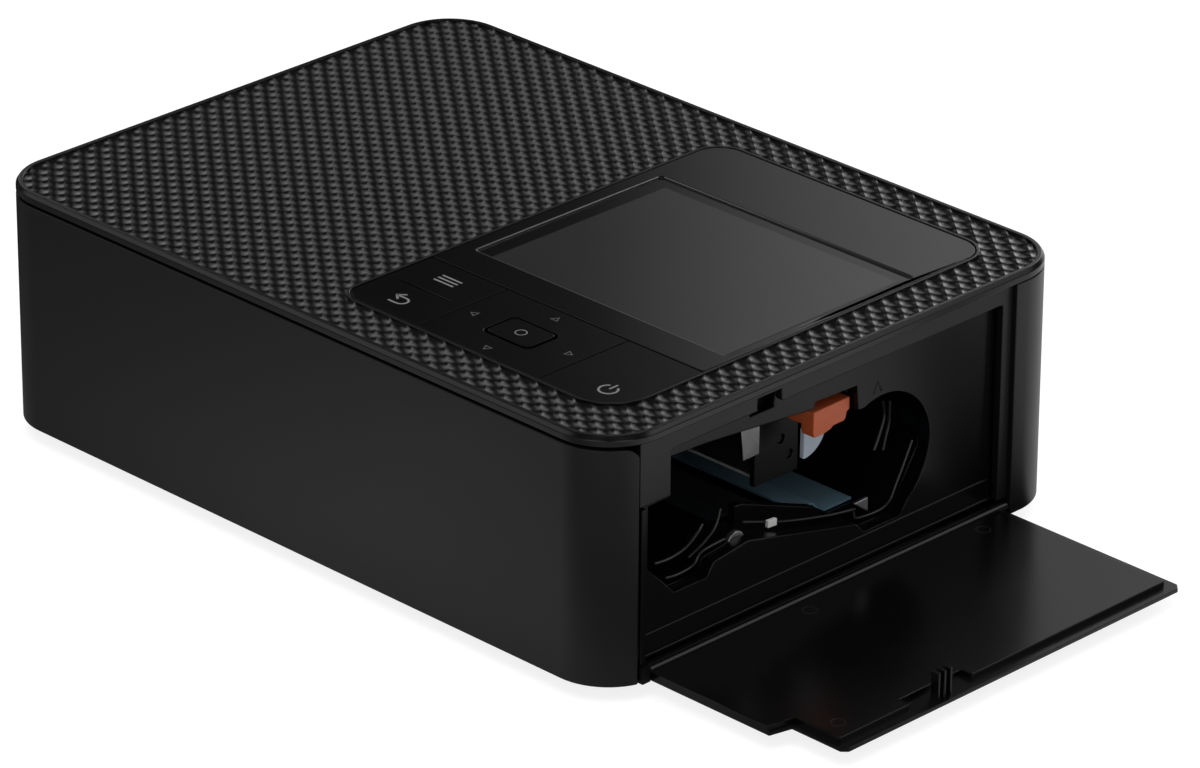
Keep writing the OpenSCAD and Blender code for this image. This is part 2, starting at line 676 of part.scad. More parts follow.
module panel_chassis() color(c_black) place() {
  x0 = panel_x0 + 1.4;
  x1 = panel_x1 + 0.8;
  difference() {
    union() {
      box(x0, x1, panel_y0, panel_y1 - 1.3, tray_z, board_z);
      for (x = [x0, x1 - 1.2]) box(x, x + 1.2, panel_split + 8, panel_y1 - 1.3, tray_z, skirt_z);
      box(x0, x1, panel_y1 - 2.5, panel_y1 - 1.3, tray_z, skirt_z);
    }
    box(x0 + 8.6, x1 - 7.8, panel_split + 12, panel_y1 - 29.6, tray_z - 1, board_z + 1);
    box(x0 + 8.6, x1 - 7.8, panel_y1 - 17.6, panel_y1 - 6.6, tray_z - 1, board_z + 1);
    box(head_x1 - 10, x1 + 1, head_pivot[0] - 3.2, head_pivot[0] + 3.2, tray_z - 1, board_z + 1);
    box(x0 - 1, x0 + 3, -18, -6, board_z + 0.3, skirt_z - 0.6);
  }
}

module key_plate(x0, x1, r) {
  y0 = panel_y0 + key_gap;
  y1 = panel_split - key_gap / 2;
  slab(x0, x1, y0, y1, key_z0, key_z0 + key_t, [r[0], r[1], 0.4, 0.4]);
}

module menu_back_key() color(c_satin) place() {
  difference() {
    key_plate(panel_x0 + key_gap, seam_left - key_gap / 2, [radii[0] - key_gap, 0.4]);
    box(key_x - 7.2, key_x + 7.4, key_mid_y - 0.25, key_mid_y + 0.25, key_z0 + key_t - 0.4, body_h);
  }
  rod_z(key_x, key_up_y, stem_z0, key_z0 + eps, stem_r);
  rod_z(key_x, key_dn_y, stem_z0, key_z0 + eps, stem_r);
  // round rib the key rocks on
  rod_x(key_x - 7, key_x + 7, [key_mid_y, key_z0 - 0.02], 0.35);
}

module dpad_carrier() color(c_black) place() {
  difference() {
    rod_z(ok_x, ok_y, lid_plate - 0.3, pocket_z - 0.05, 6.8);
    rod_z(ok_x, ok_y, lid_plate - 1, pocket_z + 1, 4.4);
  }
  // trunnions on both tilt axes
  for (s = [-1, 1]) {
    rod_x(ok_x + s * 6.9 - 0.4, ok_x + s * 6.9 + 0.4, [ok_y, tilt_z], 0.3);
    rod_y(ok_y + s * 6.9 - 0.4, ok_y + s * 6.9 + 0.4, ok_x, tilt_z, 0.3);
  }
}

module direction_plate() color(c_satin) place() {
  difference() {
    key_plate(seam_left + key_gap / 2, seam_right - key_gap / 2, [0.4, 0.4]);
    slab(ok_x - ok_w / 2 - ok_ring, ok_x + ok_w / 2 + ok_ring, ok_y - ok_d / 2 - ok_ring,
      ok_y + ok_d / 2 + ok_ring, key_z0 - 1, body_h + 1, [1.8, 1.8, 1.8, 1.8]);
  }
  for (d = dirs) rod_z(d[0], d[1], stem_z0, key_z0 + eps, stem_r);
}

module ok_button() color(c_satin) place() {
  slab(ok_x - ok_w / 2, ok_x + ok_w / 2, ok_y - ok_d / 2, ok_y + ok_d / 2, key_z0,
    body_h - 0.1, [1.3, 1.3, 1.3, 1.3]);
  rod_z(ok_x, ok_y, stem_z0, key_z0 + eps, 2.4);
}

module power_key() color(c_satin) place() {
  key_plate(seam_right + key_gap / 2, panel_x1 - key_gap, [0.4, radii[1] - key_gap]);
  rod_z(power_x, power_y, stem_z0, key_z0 + eps, stem_r);
}

module key_board() color(c_board) place() {
  box(panel_x0 + 3.2, panel_x1 - 1.2, panel_y0 + 0.9, panel_split - 1.3, board_z,
    board_z + board_t);
}

module dome_switches() color(c_steel) place() {
  spots = concat(dirs, [[ok_x, ok_y], [key_x, key_up_y], [key_x, key_dn_y], [power_x, power_y]]);
  for (p = spots) translate([p[0], p[1], board_z + board_t])
    cylinder(h = dome_h, r1 = 2.4, r2 = 1.6);
}

module lcd_flex_cable() color(c_copper) place() {
  t = 0.3;
  y0 = -17;
  y1 = -7;
  z_top = board_z + 0.7;
  x_dn = board_x1 - 1.6;
  r = 3;
  box(x_dn + r, panel_x0 + 3.4, y0, y1, z_top, z_top + t);
  along_y(y0, y1) difference() {
    translate([x_dn + r, z_top + t - r]) circle(r = r);
    translate([x_dn + r, z_top + t - r]) circle(r = r - t);
    translate([x_dn + r, 0]) square([20, 80]);
    translate([x_dn - 2, z_top + t - 3 * r]) square([20, 2 * r]);
  }
  box(x_dn, x_dn + t, y0, y1, main_z + main_t + 2.2, z_top + t - r);
}

// ---- ink bay ----
module cassette_cradle() color(c_black) place() {
  difference() {
    union() {
      along_x(bay_left, cradle_right) polygon(strip(trough, cradle_t));
      // cross rail inside the mouth
      along_x(roll_x1 + 1, roll_x1 + 3) polygon([for (p = [[-20, -0.13], [-20, 4.4], [-18, 4.8],
        [3, 1.7], [7, 0], [7, -0.4], [-18, -0.4]]) [p[0] + (p[0] < 0 ? fy : ry),
        floor_z(p[0] + (p[0] < 0 ? fy : ry)) + p[1]]]);
      // round wall behind and over the rear lobe
      intersection() {
        difference() {
          rod_x(bay_left, cradle_right, [lobe_y, lobe_z], lobe_r + 0.2 + cradle_t);
          rod_x(bay_left - 1, cradle_right + 1, [lobe_y, lobe_z], lobe_r + 0.2);
        }
        box(bay_left, cradle_right, lobe_y - 1, lobe_y + 20, lobe_z + 0.8, lobe_z + 20);
      }
    }
    // room for the platen
    box(head_x0 - 1.5, roll_x1 + 1, platen[0] - platen_r - head_room, platen[0] + platen_r + 0.5,
      0, 22);
    rod_x(roll_x1, cradle_right + 1, platen, shaft_r + 1);
  }
}

module paper_guide_upper() color(c_blue) place() {
  t = 0.5;
  lift = 0.14;
  x0 = bay_left + 1;
  y_up = platen[0] + platen_r + 0.8;
  up = [[y_up, floor_z(y_up) + lift], [ry + 6.95, 15 + lift], [ry + 9.35, 12.4 + lift],
    [ry + 18.5, 12.4 + lift]];
  y_dn = platen[0] - platen_r - head_room - 0.4;
  dn = [[fy - 24.2, 22.2 + lift], [y_dn, floor_z(y_dn) + lift]];
  along_x(x0, roll_x1 - 1) polygon(strip(up, -t));
  along_x(x0, roll_x1 - 1) polygon(strip(dn, -t));
  // strip that joins both halves beside the platen
  along_x(x0, x0 + 1.6) polygon([[fy - 24.2, 22.2 + lift], [ry + 6.95, 15 + lift],
    [ry + 6.95, 15 + lift + t], [fy - 24.2, 22.2 + lift + t]]);
}

module paper_guide_lower() color(c_black) place() {
  z0 = foot_h + wall + 0.1;
  box(guide_x[0], guide_x[1], -hd + 30.5, inner_d - 1, z0, z0 + 1.1);
  for (x = [guide_x[0], guide_x[1] - 1]) box(x, x + 1, -hd + 30.5, inner_d - 1, z0, z0 + 2);
}

module plate_holes(x0, x1) {
  for (p = [platen, cap, pick, pinch]) rod_x(x0, x1, p, bush_r);
  rod_x(x0, x1, head_pivot, pivot_r);
}

module chassis_left_plate() color(c_steel) place() {
  x1 = left_x + plate_t;
  difference() {
    union() {
      along_x(left_x, x1) polygon([[-hd + 10.5, foot_h + wall], [hd - 4.5, foot_h + wall],
        [hd - 4.5, 44 + tz], [hd - 14.5, 51 + tz], [-hd + 16.5, 52.4 + tz],
        [-hd + 10.5, 46 + tz]]);
      box(left_x, left_x + 8, -hd + 16.5, -hd + 26.5, foot_h + wall, foot_h + wall + 1.2);
    }
    plate_holes(left_x - 1, x1 + 1);
    for (p = [take, supply]) rod_x(left_x - 1, x1 + 1, p, bush_r);
    rod_x(left_x - 1, x1 + 1, motor, 4);
    for (a = [0, 120, 240]) rod_x(left_x - 1, x1 + 1, motor + 7.5 * [cos(a), sin(a)], 1.1);
  }
}

module chassis_right_plate() color(c_steel) place() {
  x1 = right_x + plate_t;
  difference() {
    union() {
      difference() {
        along_x(right_x, x1) polygon([[-hd + 10.5, foot_h + wall], [hd - 14.5, foot_h + wall],
          [hd - 14.5, 46 + tz], [hd - 18.5, 50.6 + tz], [-hd + 16.5, 52.4 + tz],
          [-hd + 10.5, 46 + tz]]);
        mouth_cut(right_x - 1, x1 + 1, plate_grow);
      }
      rod_x(right_x, x1, head_pivot, 2.6);
    }
    plate_holes(right_x - 1, x1 + 1);
  }
  // tab over the eject lever's spring
  box(lever_x - 7.8, right_x + 0.4, ry - 1.6, ry + 2.8, tz + 48.4, tz + 49.4);
}

module tie_rods() color(c_steel) place() {
  for (p = [[hd - 20.5, tz + 46], [-hd + 14.1, tz + 45], motor + [-4.86, -12.72]])
    rod_x(left_x + plate_t, right_x, p, 2);
}

// ---- print head ----
module thermal_head_bar() color(c_white) place() {
  box(head_x0 + 2, head_x1 - 2, head_y0 + 2.4, head_y1 - 2.4, head_z0 + 0.3, head_z0 + 2);
  rod_x(head_x0 + 4, head_x1 - 4, [(head_y0 + head_y1) / 2, head_z0 + 0.8], 0.8);
}

module head_heat_sink() color(c_alu) place() {
  z0 = head_z0 + 2;
  difference() {
    box(head_x0 + 1.5, head_x1 - 1.6, head_y0 + 0.8, head_y1 - 0.8, z0, head_z1 - 1.6);
    for (i = [0 : 3]) box(head_x0, head_x1, head_y0 + 2.2 + i * 2.4, head_y0 + 3.4 + i * 2.4,
      z0 + 5, head_z1);
  }
}

module head_carrier() color(c_black) place() {
  for (x = [head_x0, head_x1 - 1.4])
    difference() {
      box(x, x + 1.4, head_y0, head_y1, head_z0, head_z1);
      if (x > 0) for (p = [[ry - 1.6, 32.5], [ry + 0.8, 28.4]]) rod_x(x + 0.9, x + 3, p, 1);
    }
  box(head_x0, head_x1, head_y0, head_y1, head_z1 - 1.4, head_z1);
}

module head_arm() color(c_steel) place() {
  z0 = tz + 48.6;
  z1 = tz + 49.8;
  x0 = head_x0 - 2.4;
  x1 = head_x1 + 2.4;
  difference() {
    union() {
      box(x0, x1, head_pivot[0] + 3, head_y1 - 2, z0, z1);
      for (x = [x0, x1 - 1.2]) {
        rod_x(x, x + 1.2, head_pivot, 2.2);
        along_x(x, x + 1.2) polygon([[head_pivot[0], z0 - 0.9], [head_pivot[0], z1],
          [ry - 12, z1], [ry - 10.4, tz + 44], [ry - 10.4, tz + 33], [ry - 15, tz + 33],
          [ry - 16.4, tz + 44], [ry - 26, tz + 47.4]]);
        box(x, x + 1.2, head_y0 - 3, head_y1 - 1, z0 - 6, z1);
      }
      for (y = [head_y0 + 1, head_y1 - 4]) box(x0 + 20, x1 - 20, y, y + 1.2, head_z1, z1);
    }
    rod_x(x0 - 1, x1 + 1, head_pivot, pivot_r + run_fit);
    box(x0 + 14, x1 - 14, fy - 38, ry - 22, z0 - 1, z1 + 1);
  }
}

module head_pivot_shaft() color(c_steel) place() {
  rod_x(left_x - 0.6, right_x + plate_t + 0.6, head_pivot, pivot_r);
}

coil_gap = 0.9 - 2 * 0.22;
lever_coil_gap = 0.975 - 2 * 0.2;
echo(lever_coil_gap = lever_coil_gap);
echo(coil_gap = coil_gap);
module head_springs() color(c_steel) place() {
  for (x = [head_x0 + 2, head_x1 - 8])
    translate([x, head_pivot[0], head_pivot[1]]) rotate([0, 90, 0])
      coil(pivot_r + 0.6, 0.22, 0.9, 5);
}

module head_flex_cable() color(c_copper) place() {
  box(head_x0 + 24, head_x0 + 44, ry - 20, head_y1 - 3, tz + 49.85, tz + 50.15);
}

// ---- eject lever ----
module eject_lever() color(c_orange) place() {
  translate([0, ry, tz]) along_x(lever_x - 7.5, lever_x) polygon([[-4.7, 39.4],
    [-4.7, 43.6], [6.1, 43.6], [6.1, 40.4], [4.6, 40.4], [4.6, 38.8], [3, 37.4], [-2.6, 37.4]]);
}

module lever_flag() color(c_pale) place() {
  x0 = lever_x - 5.5;
  translate([0, ry, tz]) intersection() {
    along_x(x0, x0 + 1.2) translate([-2.6, 37.4]) circle(r = 6.6);
    box(x0, x0 + 1.2, -2.6, 4.4, 28, 37.4);
  }
}

module lever_spring() color(c_steel) place() {
  translate([lever_x - 5.9, ry + 0.6, tz + 43.85]) coil(1.6, 0.2, 0.975, 4);
}

// ---- drive ----
module hub(at) {
  rod_x(bay_left + 0.2, bay_left + 7.6, at, 4.2);
  rod_x(bay_left + 7.6, bay_left + 9.6, at, 2.6);
  for (a = [0, 120, 240]) translate([0, at[0], at[1]]) rotate([a, 0, 0])
    box(bay_left + 1.4, bay_left + 7.6, -0.6, 0.6, 3.8, 5.4);
}

module supply_spindle() color(c_white) place() {
  hub(supply);
  rod_x(left_x - 3.4, bay_left + 0.4, supply, shaft_r);
  rod_x(left_x - 3.2, left_x - 1.2, supply, 7);
}

module takeup_spindle() color(c_white) place() {
  hub(take);
  rod_x(shaft_x0, bay_left + 0.4, take, shaft_r);
}

module takeup_gear() color(c_white) place() {
  difference() {
    gear(z_take, ph_take, take, g1_x, shaft_r + 0.01);
    for (a = [0 : 60 : 300]) rod_x(g1_x - 1, g1_x + gear_w + 1, take + 11 * [cos(a), sin(a)], 3.6);
  }
}

module platen_roller() color(c_rubber) place() {
  difference() {
    rod_x(roll_x0, roll_x1, platen, platen_r);
    rod_x(roll_x0 - 1, roll_x1 + 1, platen, shaft_r);
  }
}

module platen_shaft() color(c_steel) place() {
  rod_x(shaft_x0, shaft_x1, platen, shaft_r);
}

module platen_gear() color(c_white) place() {
  gear(z_platen, ph_platen, platen, g1_x, shaft_r + 0.01);
}

module bearing_bushes() color(c_copper) place() {
  for (p = [platen, cap, pick, pinch]) for (x = [left_x, right_x]) difference() {
    rod_x(x - (x < 0 ? 0.7 : bush_over), x + plate_t + bush_over, p, bush_r);
    rod_x(x - 2, x + plate_t + 2, p, shaft_r + run_fit);
  }
  for (p = [take, supply]) difference() {
    rod_x(left_x - 0.7, left_x + plate_t, p, bush_r);
    rod_x(left_x - 2, left_x + plate_t + 2, p, shaft_r + run_fit);
  }
}

module capstan_roller() color(c_steel) place() {
  rod_x(shaft_x0, shaft_x1, cap, shaft_r);
  rod_x(roll_x0, roll_x1, cap, capstan_r);
}

module capstan_gear() color(c_white) place() {
  gear(z_cap, ph_cap, cap, g1_x, shaft_r + 0.01);
}

module pinch_roller() color(c_steel) place() {
  rod_x(left_x - 0.8, shaft_x1, pinch, shaft_r);
  rod_x(roll_x0 + 2, roll_x1 - 2, pinch, pinch_r);
}

module pickup_roller() color(c_rubber) place() {
  rod_x(shaft_x0, shaft_x1, pick, shaft_r);
  for (x = [roll_x0 + 34, roll_x0 + 58]) rod_x(x, x + 14, pick, pickup_r);
}

module pickup_gear() color(c_white) place() {
  gear(z_pick, ph_pick, pick, g1_x, shaft_r + 0.01);
}

module idler_gear() color(c_white) place() {
  gear(z_idle, ph_idle, idle, g1_x, post_r + run_fit);
}

module reduction_gear() color(c_white) place() {
  gear(z_small, ph_small, reduce, g1_x, post_r + run_fit);
  gear(z_large, ph_large, reduce, g2_x, post_r + run_fit);
  difference() {
    rod_x(g2_x + gear_w - eps, g1_x + eps, reduce, 4);
    rod_x(g2_x, g1_x + 1, reduce, post_r + run_fit);
  }
}

module gear_posts() color(c_steel) place() {
  rod_x(g2_x - 0.3, left_x, reduce, post_r);
  rod_x(g2_x - 1.1, g2_x - 0.3, reduce, 2.4);
  rod_x(g1_x - 0.3, left_x, idle, post_r);
  rod_x(g1_x - 1.1, g1_x - 0.3, idle, 2.4);
}

module drive_motor() color(c_steel) place() {
  x0 = left_x + plate_t;
  difference() {
    union() {
      rod_x(x0, x0 + motor_len, motor, motor_r);
      rod_x(left_x - 0.4, x0 + 1, motor, 3.94);
      rod_x(x0 + motor_len, x0 + motor_len + 2, motor, 4);
    }
    rod_x(left_x - 2, x0 + 8, motor, 1 + run_fit);
  }
}

module motor_pinion() color(c_copper) place() {
  difference() {
    gear(z_pin, ph_pin, motor, g2_x, 1.01);
  }
  rod_x(g2_x - 0.4, left_x + plate_t + 7, motor, 1);
}

// ---- electronics ----
module main_board() color(c_board) place() {
  z1 = main_z + main_t;
  difference() {
    box(board_x0, board_x1, board_y0, board_y1, main_z, z1);
    for (p = pillars) rod_z(p[0], p[1], 0, 20, 1.1);
  }
  box(on_board(0.41), on_board(0.8), 8, 20, z1, z1 + 1.4);
  box(on_board(0.21), on_board(0.47), 26, 34, z1, z1 + 1.2);
  box(board_x1 - 2.8, board_x1 - 0.2, -18, -6, z1, z1 + 2.2);
  for (y = [-2, 28, 40]) rod_z(on_board(0.738), y, z1, z1 + 8, 3.1);
  box(on_board(0.67), on_board(0.92), -44, -24, z1, z1 + 5);
}

module dc_jack() color(c_black) place() {
  z0 = main_z + main_t;
  difference() {
    union() {
      box(jack_x - 4.5, jack_x + 4.5, inner_d - 14.5, inner_d - 0.2, z0, z0 + 11);
      rod_y(inner_d - 4.5, hd - 0.4, jack_x, jack_z, 5);
    }
    rod_y(inner_d - 10.5, hd + 1, jack_x, jack_z, 2.75);
  }
  rod_y(inner_d - 11, hd - 3, jack_x, jack_z, 0.8);
}

module usb_port() color(c_steel) place() {
  z0 = main_z + main_t;
  difference() {
    along_x(-hw + 0.4, -hw + 13) slab2(usb_y[0], usb_y[1], z0 + 0.1, z0 + 3.5, [0.7, 0.7, 0.7, 0.7]);
    along_x(-hw, -hw + 11.6)
      slab2(usb_y[0] + 0.35, usb_y[1] - 0.35, z0 + 0.45, z0 + 3.15, [0.5, 0.5, 0.5, 0.5]);
  }
  box(-hw + 1.6, -hw + 12, usb_y[0] + 1.4, usb_y[1] - 1.4, z0 + 1.45, z0 + 2.15);
}

module card_slot() color(c_steel) place() {
  z0 = main_z + main_t;
  difference() {
    box(-hw + 0.4, card_x1, card_y[0], card_y[1], z0 + 0.1, z0 + 3.5);
    box(-hw, card_x1 - 1, card_y[0] + 0.6, card_y[1] - 0.6, z0 + 0.5, z0 + 3.1);
  }
}

module board_screws() color(c_steel) place() {
  z1 = main_z + main_t;
  for (p = pillars) {
    rod_z(p[0], p[1], z1, z1 + 1.1, 1.9);
    rod_z(p[0], p[1], main_z - 3.6, z1, 0.9);
  }
}

top_cover();
front_cover();
main_casing();
base_pan();
rubber_feet();
base_screws();
front_fascia();
bay_frame();
cassette_door();
panel_window();
lcd_module();
panel_chassis();
menu_back_key();
dpad_carrier();
direction_plate();
ok_button();
power_key();
key_board();
dome_switches();
lcd_flex_cable();
cassette_cradle();
paper_guide_upper();
paper_guide_lower();
chassis_left_plate();
chassis_right_plate();
tie_rods();
thermal_head_bar();
head_heat_sink();
head_carrier();
head_arm();
head_pivot_shaft();
head_springs();
head_flex_cable();
eject_lever();
lever_flag();
lever_spring();
supply_spindle();
takeup_spindle();
takeup_gear();
platen_roller();
platen_shaft();
platen_gear();
bearing_bushes();
capstan_roller();
capstan_gear();
pinch_roller();
pickup_roller();
pickup_gear();
idler_gear();
reduction_gear();
gear_posts();
drive_motor();
motor_pinion();
main_board();
dc_jack();
usb_port();
card_slot();
board_screws();
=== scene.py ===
import json
import math

import bmesh
import bpy
from mathutils import Matrix, Vector


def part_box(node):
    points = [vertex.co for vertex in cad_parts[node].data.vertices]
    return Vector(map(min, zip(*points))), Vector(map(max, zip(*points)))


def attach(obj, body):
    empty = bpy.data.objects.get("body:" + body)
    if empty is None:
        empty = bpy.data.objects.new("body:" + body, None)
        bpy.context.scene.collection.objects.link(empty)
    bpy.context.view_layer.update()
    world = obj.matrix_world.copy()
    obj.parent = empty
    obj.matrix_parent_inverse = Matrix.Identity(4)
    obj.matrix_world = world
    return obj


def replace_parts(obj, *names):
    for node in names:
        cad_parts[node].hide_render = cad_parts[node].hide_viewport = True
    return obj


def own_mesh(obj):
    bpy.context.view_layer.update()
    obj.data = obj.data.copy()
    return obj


# A compact photo printer with its ink door open: finishes for the CAD nodes, the moulded
# texture of the lid, the glossy control panel, small fittings of the ink bay, and the studio.
# Lengths of the object are body-centred millimetres, x to the right, y to the back, z up.

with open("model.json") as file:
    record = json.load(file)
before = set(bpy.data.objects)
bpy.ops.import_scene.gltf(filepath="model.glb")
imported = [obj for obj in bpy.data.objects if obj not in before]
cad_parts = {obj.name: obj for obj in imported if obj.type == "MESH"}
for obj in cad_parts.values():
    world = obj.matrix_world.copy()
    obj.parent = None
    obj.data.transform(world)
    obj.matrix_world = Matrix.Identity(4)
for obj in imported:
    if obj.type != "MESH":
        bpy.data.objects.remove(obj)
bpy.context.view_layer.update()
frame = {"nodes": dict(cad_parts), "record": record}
scene = bpy.context.scene
NODES = frame["nodes"]
MM = 0.001
cover_low, cover_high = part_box("top_cover")
SHIFT = -round((cover_low[0] + cover_high[0]) / 2 / MM, 2)  # frame x = body x - SHIFT


def in_frame(x, y, z):
    """Body-centred millimetres to the frame's metres."""
    return Vector(((x - SHIFT) * MM, y * MM, z * MM))


def box_mm(node):
    """Lowest and highest corner of a node at rest, in body-centred millimetres."""
    return [
        [round(v / MM + s, 2) for v, s in zip(corner, (SHIFT, 0, 0))]
        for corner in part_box(node)
    ]


def add_object(name, data):
    ob = bpy.data.objects.new(name, data)
    scene.collection.objects.link(ob)
    return ob


def stand(ob, place, x, y, z):
    """Puts a camera or lamp in its place, with its own axes along three unit vectors."""
    ob.matrix_world = Matrix.Translation(place) @ Matrix((x, y, z)).transposed().to_4x4()


# ---------------------------------------------------------------- camera
# Fitted to the photograph: turned from the front to the right, raised, rolled a little.
TURN, RAISE, ROLL = (math.radians(a) for a in (44.9, 25.3164, 0.35))
DISTANCE = 1437.1  # mm, from the point on the body's axis below
AXIS_Z = 3.6  # mm, height of that point
ASIDE, ABOVE = 15.786, 13.699  # mm, how far the middle of the picture is from it
LENS, SENSOR = 206.405, 36  # mm


def photo_camera():
    back = Vector(
        (
            math.sin(TURN) * math.cos(RAISE),
            -math.cos(TURN) * math.cos(RAISE),
            math.sin(RAISE),
        )
    )
    level = Vector((math.cos(TURN), math.sin(TURN), 0))
    upright = level.cross(-back)
    right = level * math.cos(ROLL) + upright * math.sin(ROLL)
    up = upright * math.cos(ROLL) - level * math.sin(ROLL)
    eye = right * ASIDE + up * ABOVE + back * DISTANCE + Vector((0, 0, AXIS_Z))
    data = bpy.data.cameras.new("camera")
    data.lens = LENS
    data.sensor_width = SENSOR
    data.clip_start = 0.05
    data.clip_end = 50
    camera = add_object("camera", data)
    stand(camera, in_frame(*eye), right, up, back)
    return camera


scene.camera = photo_camera()
scene.view_settings.view_transform = "Standard"


# ---------------------------------------------------------------- shader nodes
MIX_A, MIX_B, MIX_COLOR = 6, 7, 2  # sockets of a Mix node for colours


class Nodes:
    """The node tree of a material or world, with short ways to add and join.

    Where an output node is named, the tree is emptied and starts from it.
    """

    def __init__(self, owner, output=None):
        owner.use_nodes = True
        self.tree = owner.node_tree
        if output:
            self.tree.nodes.clear()
            self.surface = self.add(output).inputs["Surface"]

    def add(self, kind, **values):
        """A node; a value goes to its setting of that name, or else to that socket."""
        node = self.tree.nodes.new(kind)
        for key, value in values.items():
            if hasattr(node, key):
                setattr(node, key, value)
            else:
                node.inputs[key].default_value = value
        return node

    def link(self, source, socket):
        self.tree.links.new(source, socket)

    def ramp(self, source, stops):
        """Greys or colours at stops from 0 to 1."""
        node = self.add("ShaderNodeValToRGB")
        elements = node.color_ramp.elements
        while len(elements) < len(stops):
            elements.new(0.5)
        for element, (position, shade) in zip(elements, stops):
            color = shade if hasattr(shade, "__len__") else (shade, shade, shade)
            element.position = position
            element.color = (*color, 1)
        self.link(source, node.inputs[0])
        return node.outputs[0]

    def along(self, axis, stops):
        """A grey that follows the surface's own coordinate along an axis, in metres."""
        place = self.add("ShaderNodeTexCoord").outputs["Object"]
        dot = self.add("ShaderNodeVectorMath", operation="DOT_PRODUCT")
        self.link(place, dot.inputs[0])
        dot.inputs[1].default_value = axis
        low, high = stops[0][0], stops[-1][0]
        fit = self.add("ShaderNodeMapRange")
        fit.inputs["From Min"].default_value = low
        fit.inputs["From Max"].default_value = high
        self.link(dot.outputs["Value"], fit.inputs["Value"])
        return self.ramp(
            fit.outputs[0], [((p - low) / (high - low), grey) for p, grey in stops]
        )

    def combine(self, kind, a, b):
        """Two colours in one, such as MULTIPLY or LIGHTEN."""
        mix = self.add("ShaderNodeMix", data_type="RGBA", blend_type=kind)
        mix.inputs[0].default_value = 1.0
        self.link(a, mix.inputs[MIX_A])
        self.link(b, mix.inputs[MIX_B])
        return mix.outputs[MIX_COLOR]

    def choose(self, factor, off, on):
        """One shader where the factor is 0 and another where it is 1."""
        mix = self.add("ShaderNodeMixShader")
        for source, socket in zip((factor, off, on), mix.inputs):
            self.link(source, socket)
        return mix.outputs[0]

    def by_ray(self, shown, mirrored, plain):
        """One shader for the camera, one for gloss and glass, one for all other rays."""
        rays = self.add("ShaderNodeLightPath")
        either = self.add("ShaderNodeMath", operation="MAXIMUM")
        self.link(rays.outputs["Is Glossy Ray"], either.inputs[0])
        self.link(rays.outputs["Is Transmission Ray"], either.inputs[1])
        unseen = self.choose(either.outputs[0], plain, mirrored)
        self.link(self.choose(rays.outputs["Is Camera Ray"], unseen, shown), self.surface)


# ---------------------------------------------------------------- finishes
MATS = {}
GRAIN_DEPTH = 0.00003  # m, of the finest relief


def material(
    name,
    color,
    rough,
    metal=0.0,
    grain=0.0,
    grain_scale=3200.0,
    vary=0.15,
    tone=0.05,
    tone_scale=60.0,
    coat=0.0,
    coat_rough=0.1,
    ior=1.5,
    brushed=None,
    spots=0.0,
    spot_color=(0.3, 0.3, 0.3),
):
    """A moulded, plated or ground surface: tone, roughness and fine relief from noise.

    Scales are in repeats a metre; brushed stretches the relief with a scale for each axis.
    """
    mat = bpy.data.materials.new(name)
    nodes = Nodes(mat, "ShaderNodeOutputMaterial")
    shader = nodes.add("ShaderNodeBsdfPrincipled", Metallic=metal, IOR=ior)
    if coat:
        shader.inputs["Coat Weight"].default_value = coat
        shader.inputs["Coat Roughness"].default_value = coat_rough
    place = nodes.add("ShaderNodeTexCoord").outputs["Object"]
    big = nodes.add("ShaderNodeTexNoise", Scale=tone_scale, Detail=4.0, Roughness=0.55)
    nodes.link(place, big.inputs["Vector"])
    dark = tuple(c * (1 - tone) for c in color)
    light = tuple(min(1, c * (1 + tone)) for c in color)
    shade = nodes.ramp(big.outputs["Fac"], [(0.3, dark), (0.7, light)])
    if spots:
        dots = nodes.add("ShaderNodeTexVoronoi", Scale=grain_scale * 0.25)
        nodes.link(place, dots.inputs["Vector"])
        mix = nodes.add("ShaderNodeMix", data_type="RGBA")
        mask = nodes.ramp(dots.outputs["Distance"], [(0.0, 1.0), (spots, 0.0)])
        nodes.link(mask, mix.inputs[0])
        nodes.link(shade, mix.inputs[MIX_A])
        mix.inputs[MIX_B].default_value = (*spot_color, 1)
        shade = mix.outputs[MIX_COLOR]
    nodes.link(shade, shader.inputs["Base Color"])
    smooth, dull = max(0.02, rough * (1 - vary)), min(1, rough * (1 + vary))
    polish = nodes.ramp(big.outputs["Fac"], [(0.25, smooth), (0.75, dull)])
    nodes.link(polish, shader.inputs["Roughness"])
    if grain:
        fine = nodes.add("ShaderNodeTexNoise", Scale=grain_scale, Detail=3.0, Roughness=0.6)
        if brushed:
            stretch = nodes.add("ShaderNodeMapping", Scale=brushed)
            nodes.link(place, stretch.inputs["Vector"])
            nodes.link(stretch.outputs["Vector"], fine.inputs["Vector"])
            fine.inputs["Scale"].default_value = 1.0
        else:
            nodes.link(place, fine.inputs["Vector"])
        bump = nodes.add("ShaderNodeBump", Strength=grain, Distance=GRAIN_DEPTH)
        nodes.link(fine.outputs["Fac"], bump.inputs["Height"])
        nodes.link(bump.outputs["Normal"], shader.inputs["Normal"])
    nodes.link(shader.outputs["BSDF"], nodes.surface)
    mat.diffuse_color = (*color, 1)
    MATS[name] = mat


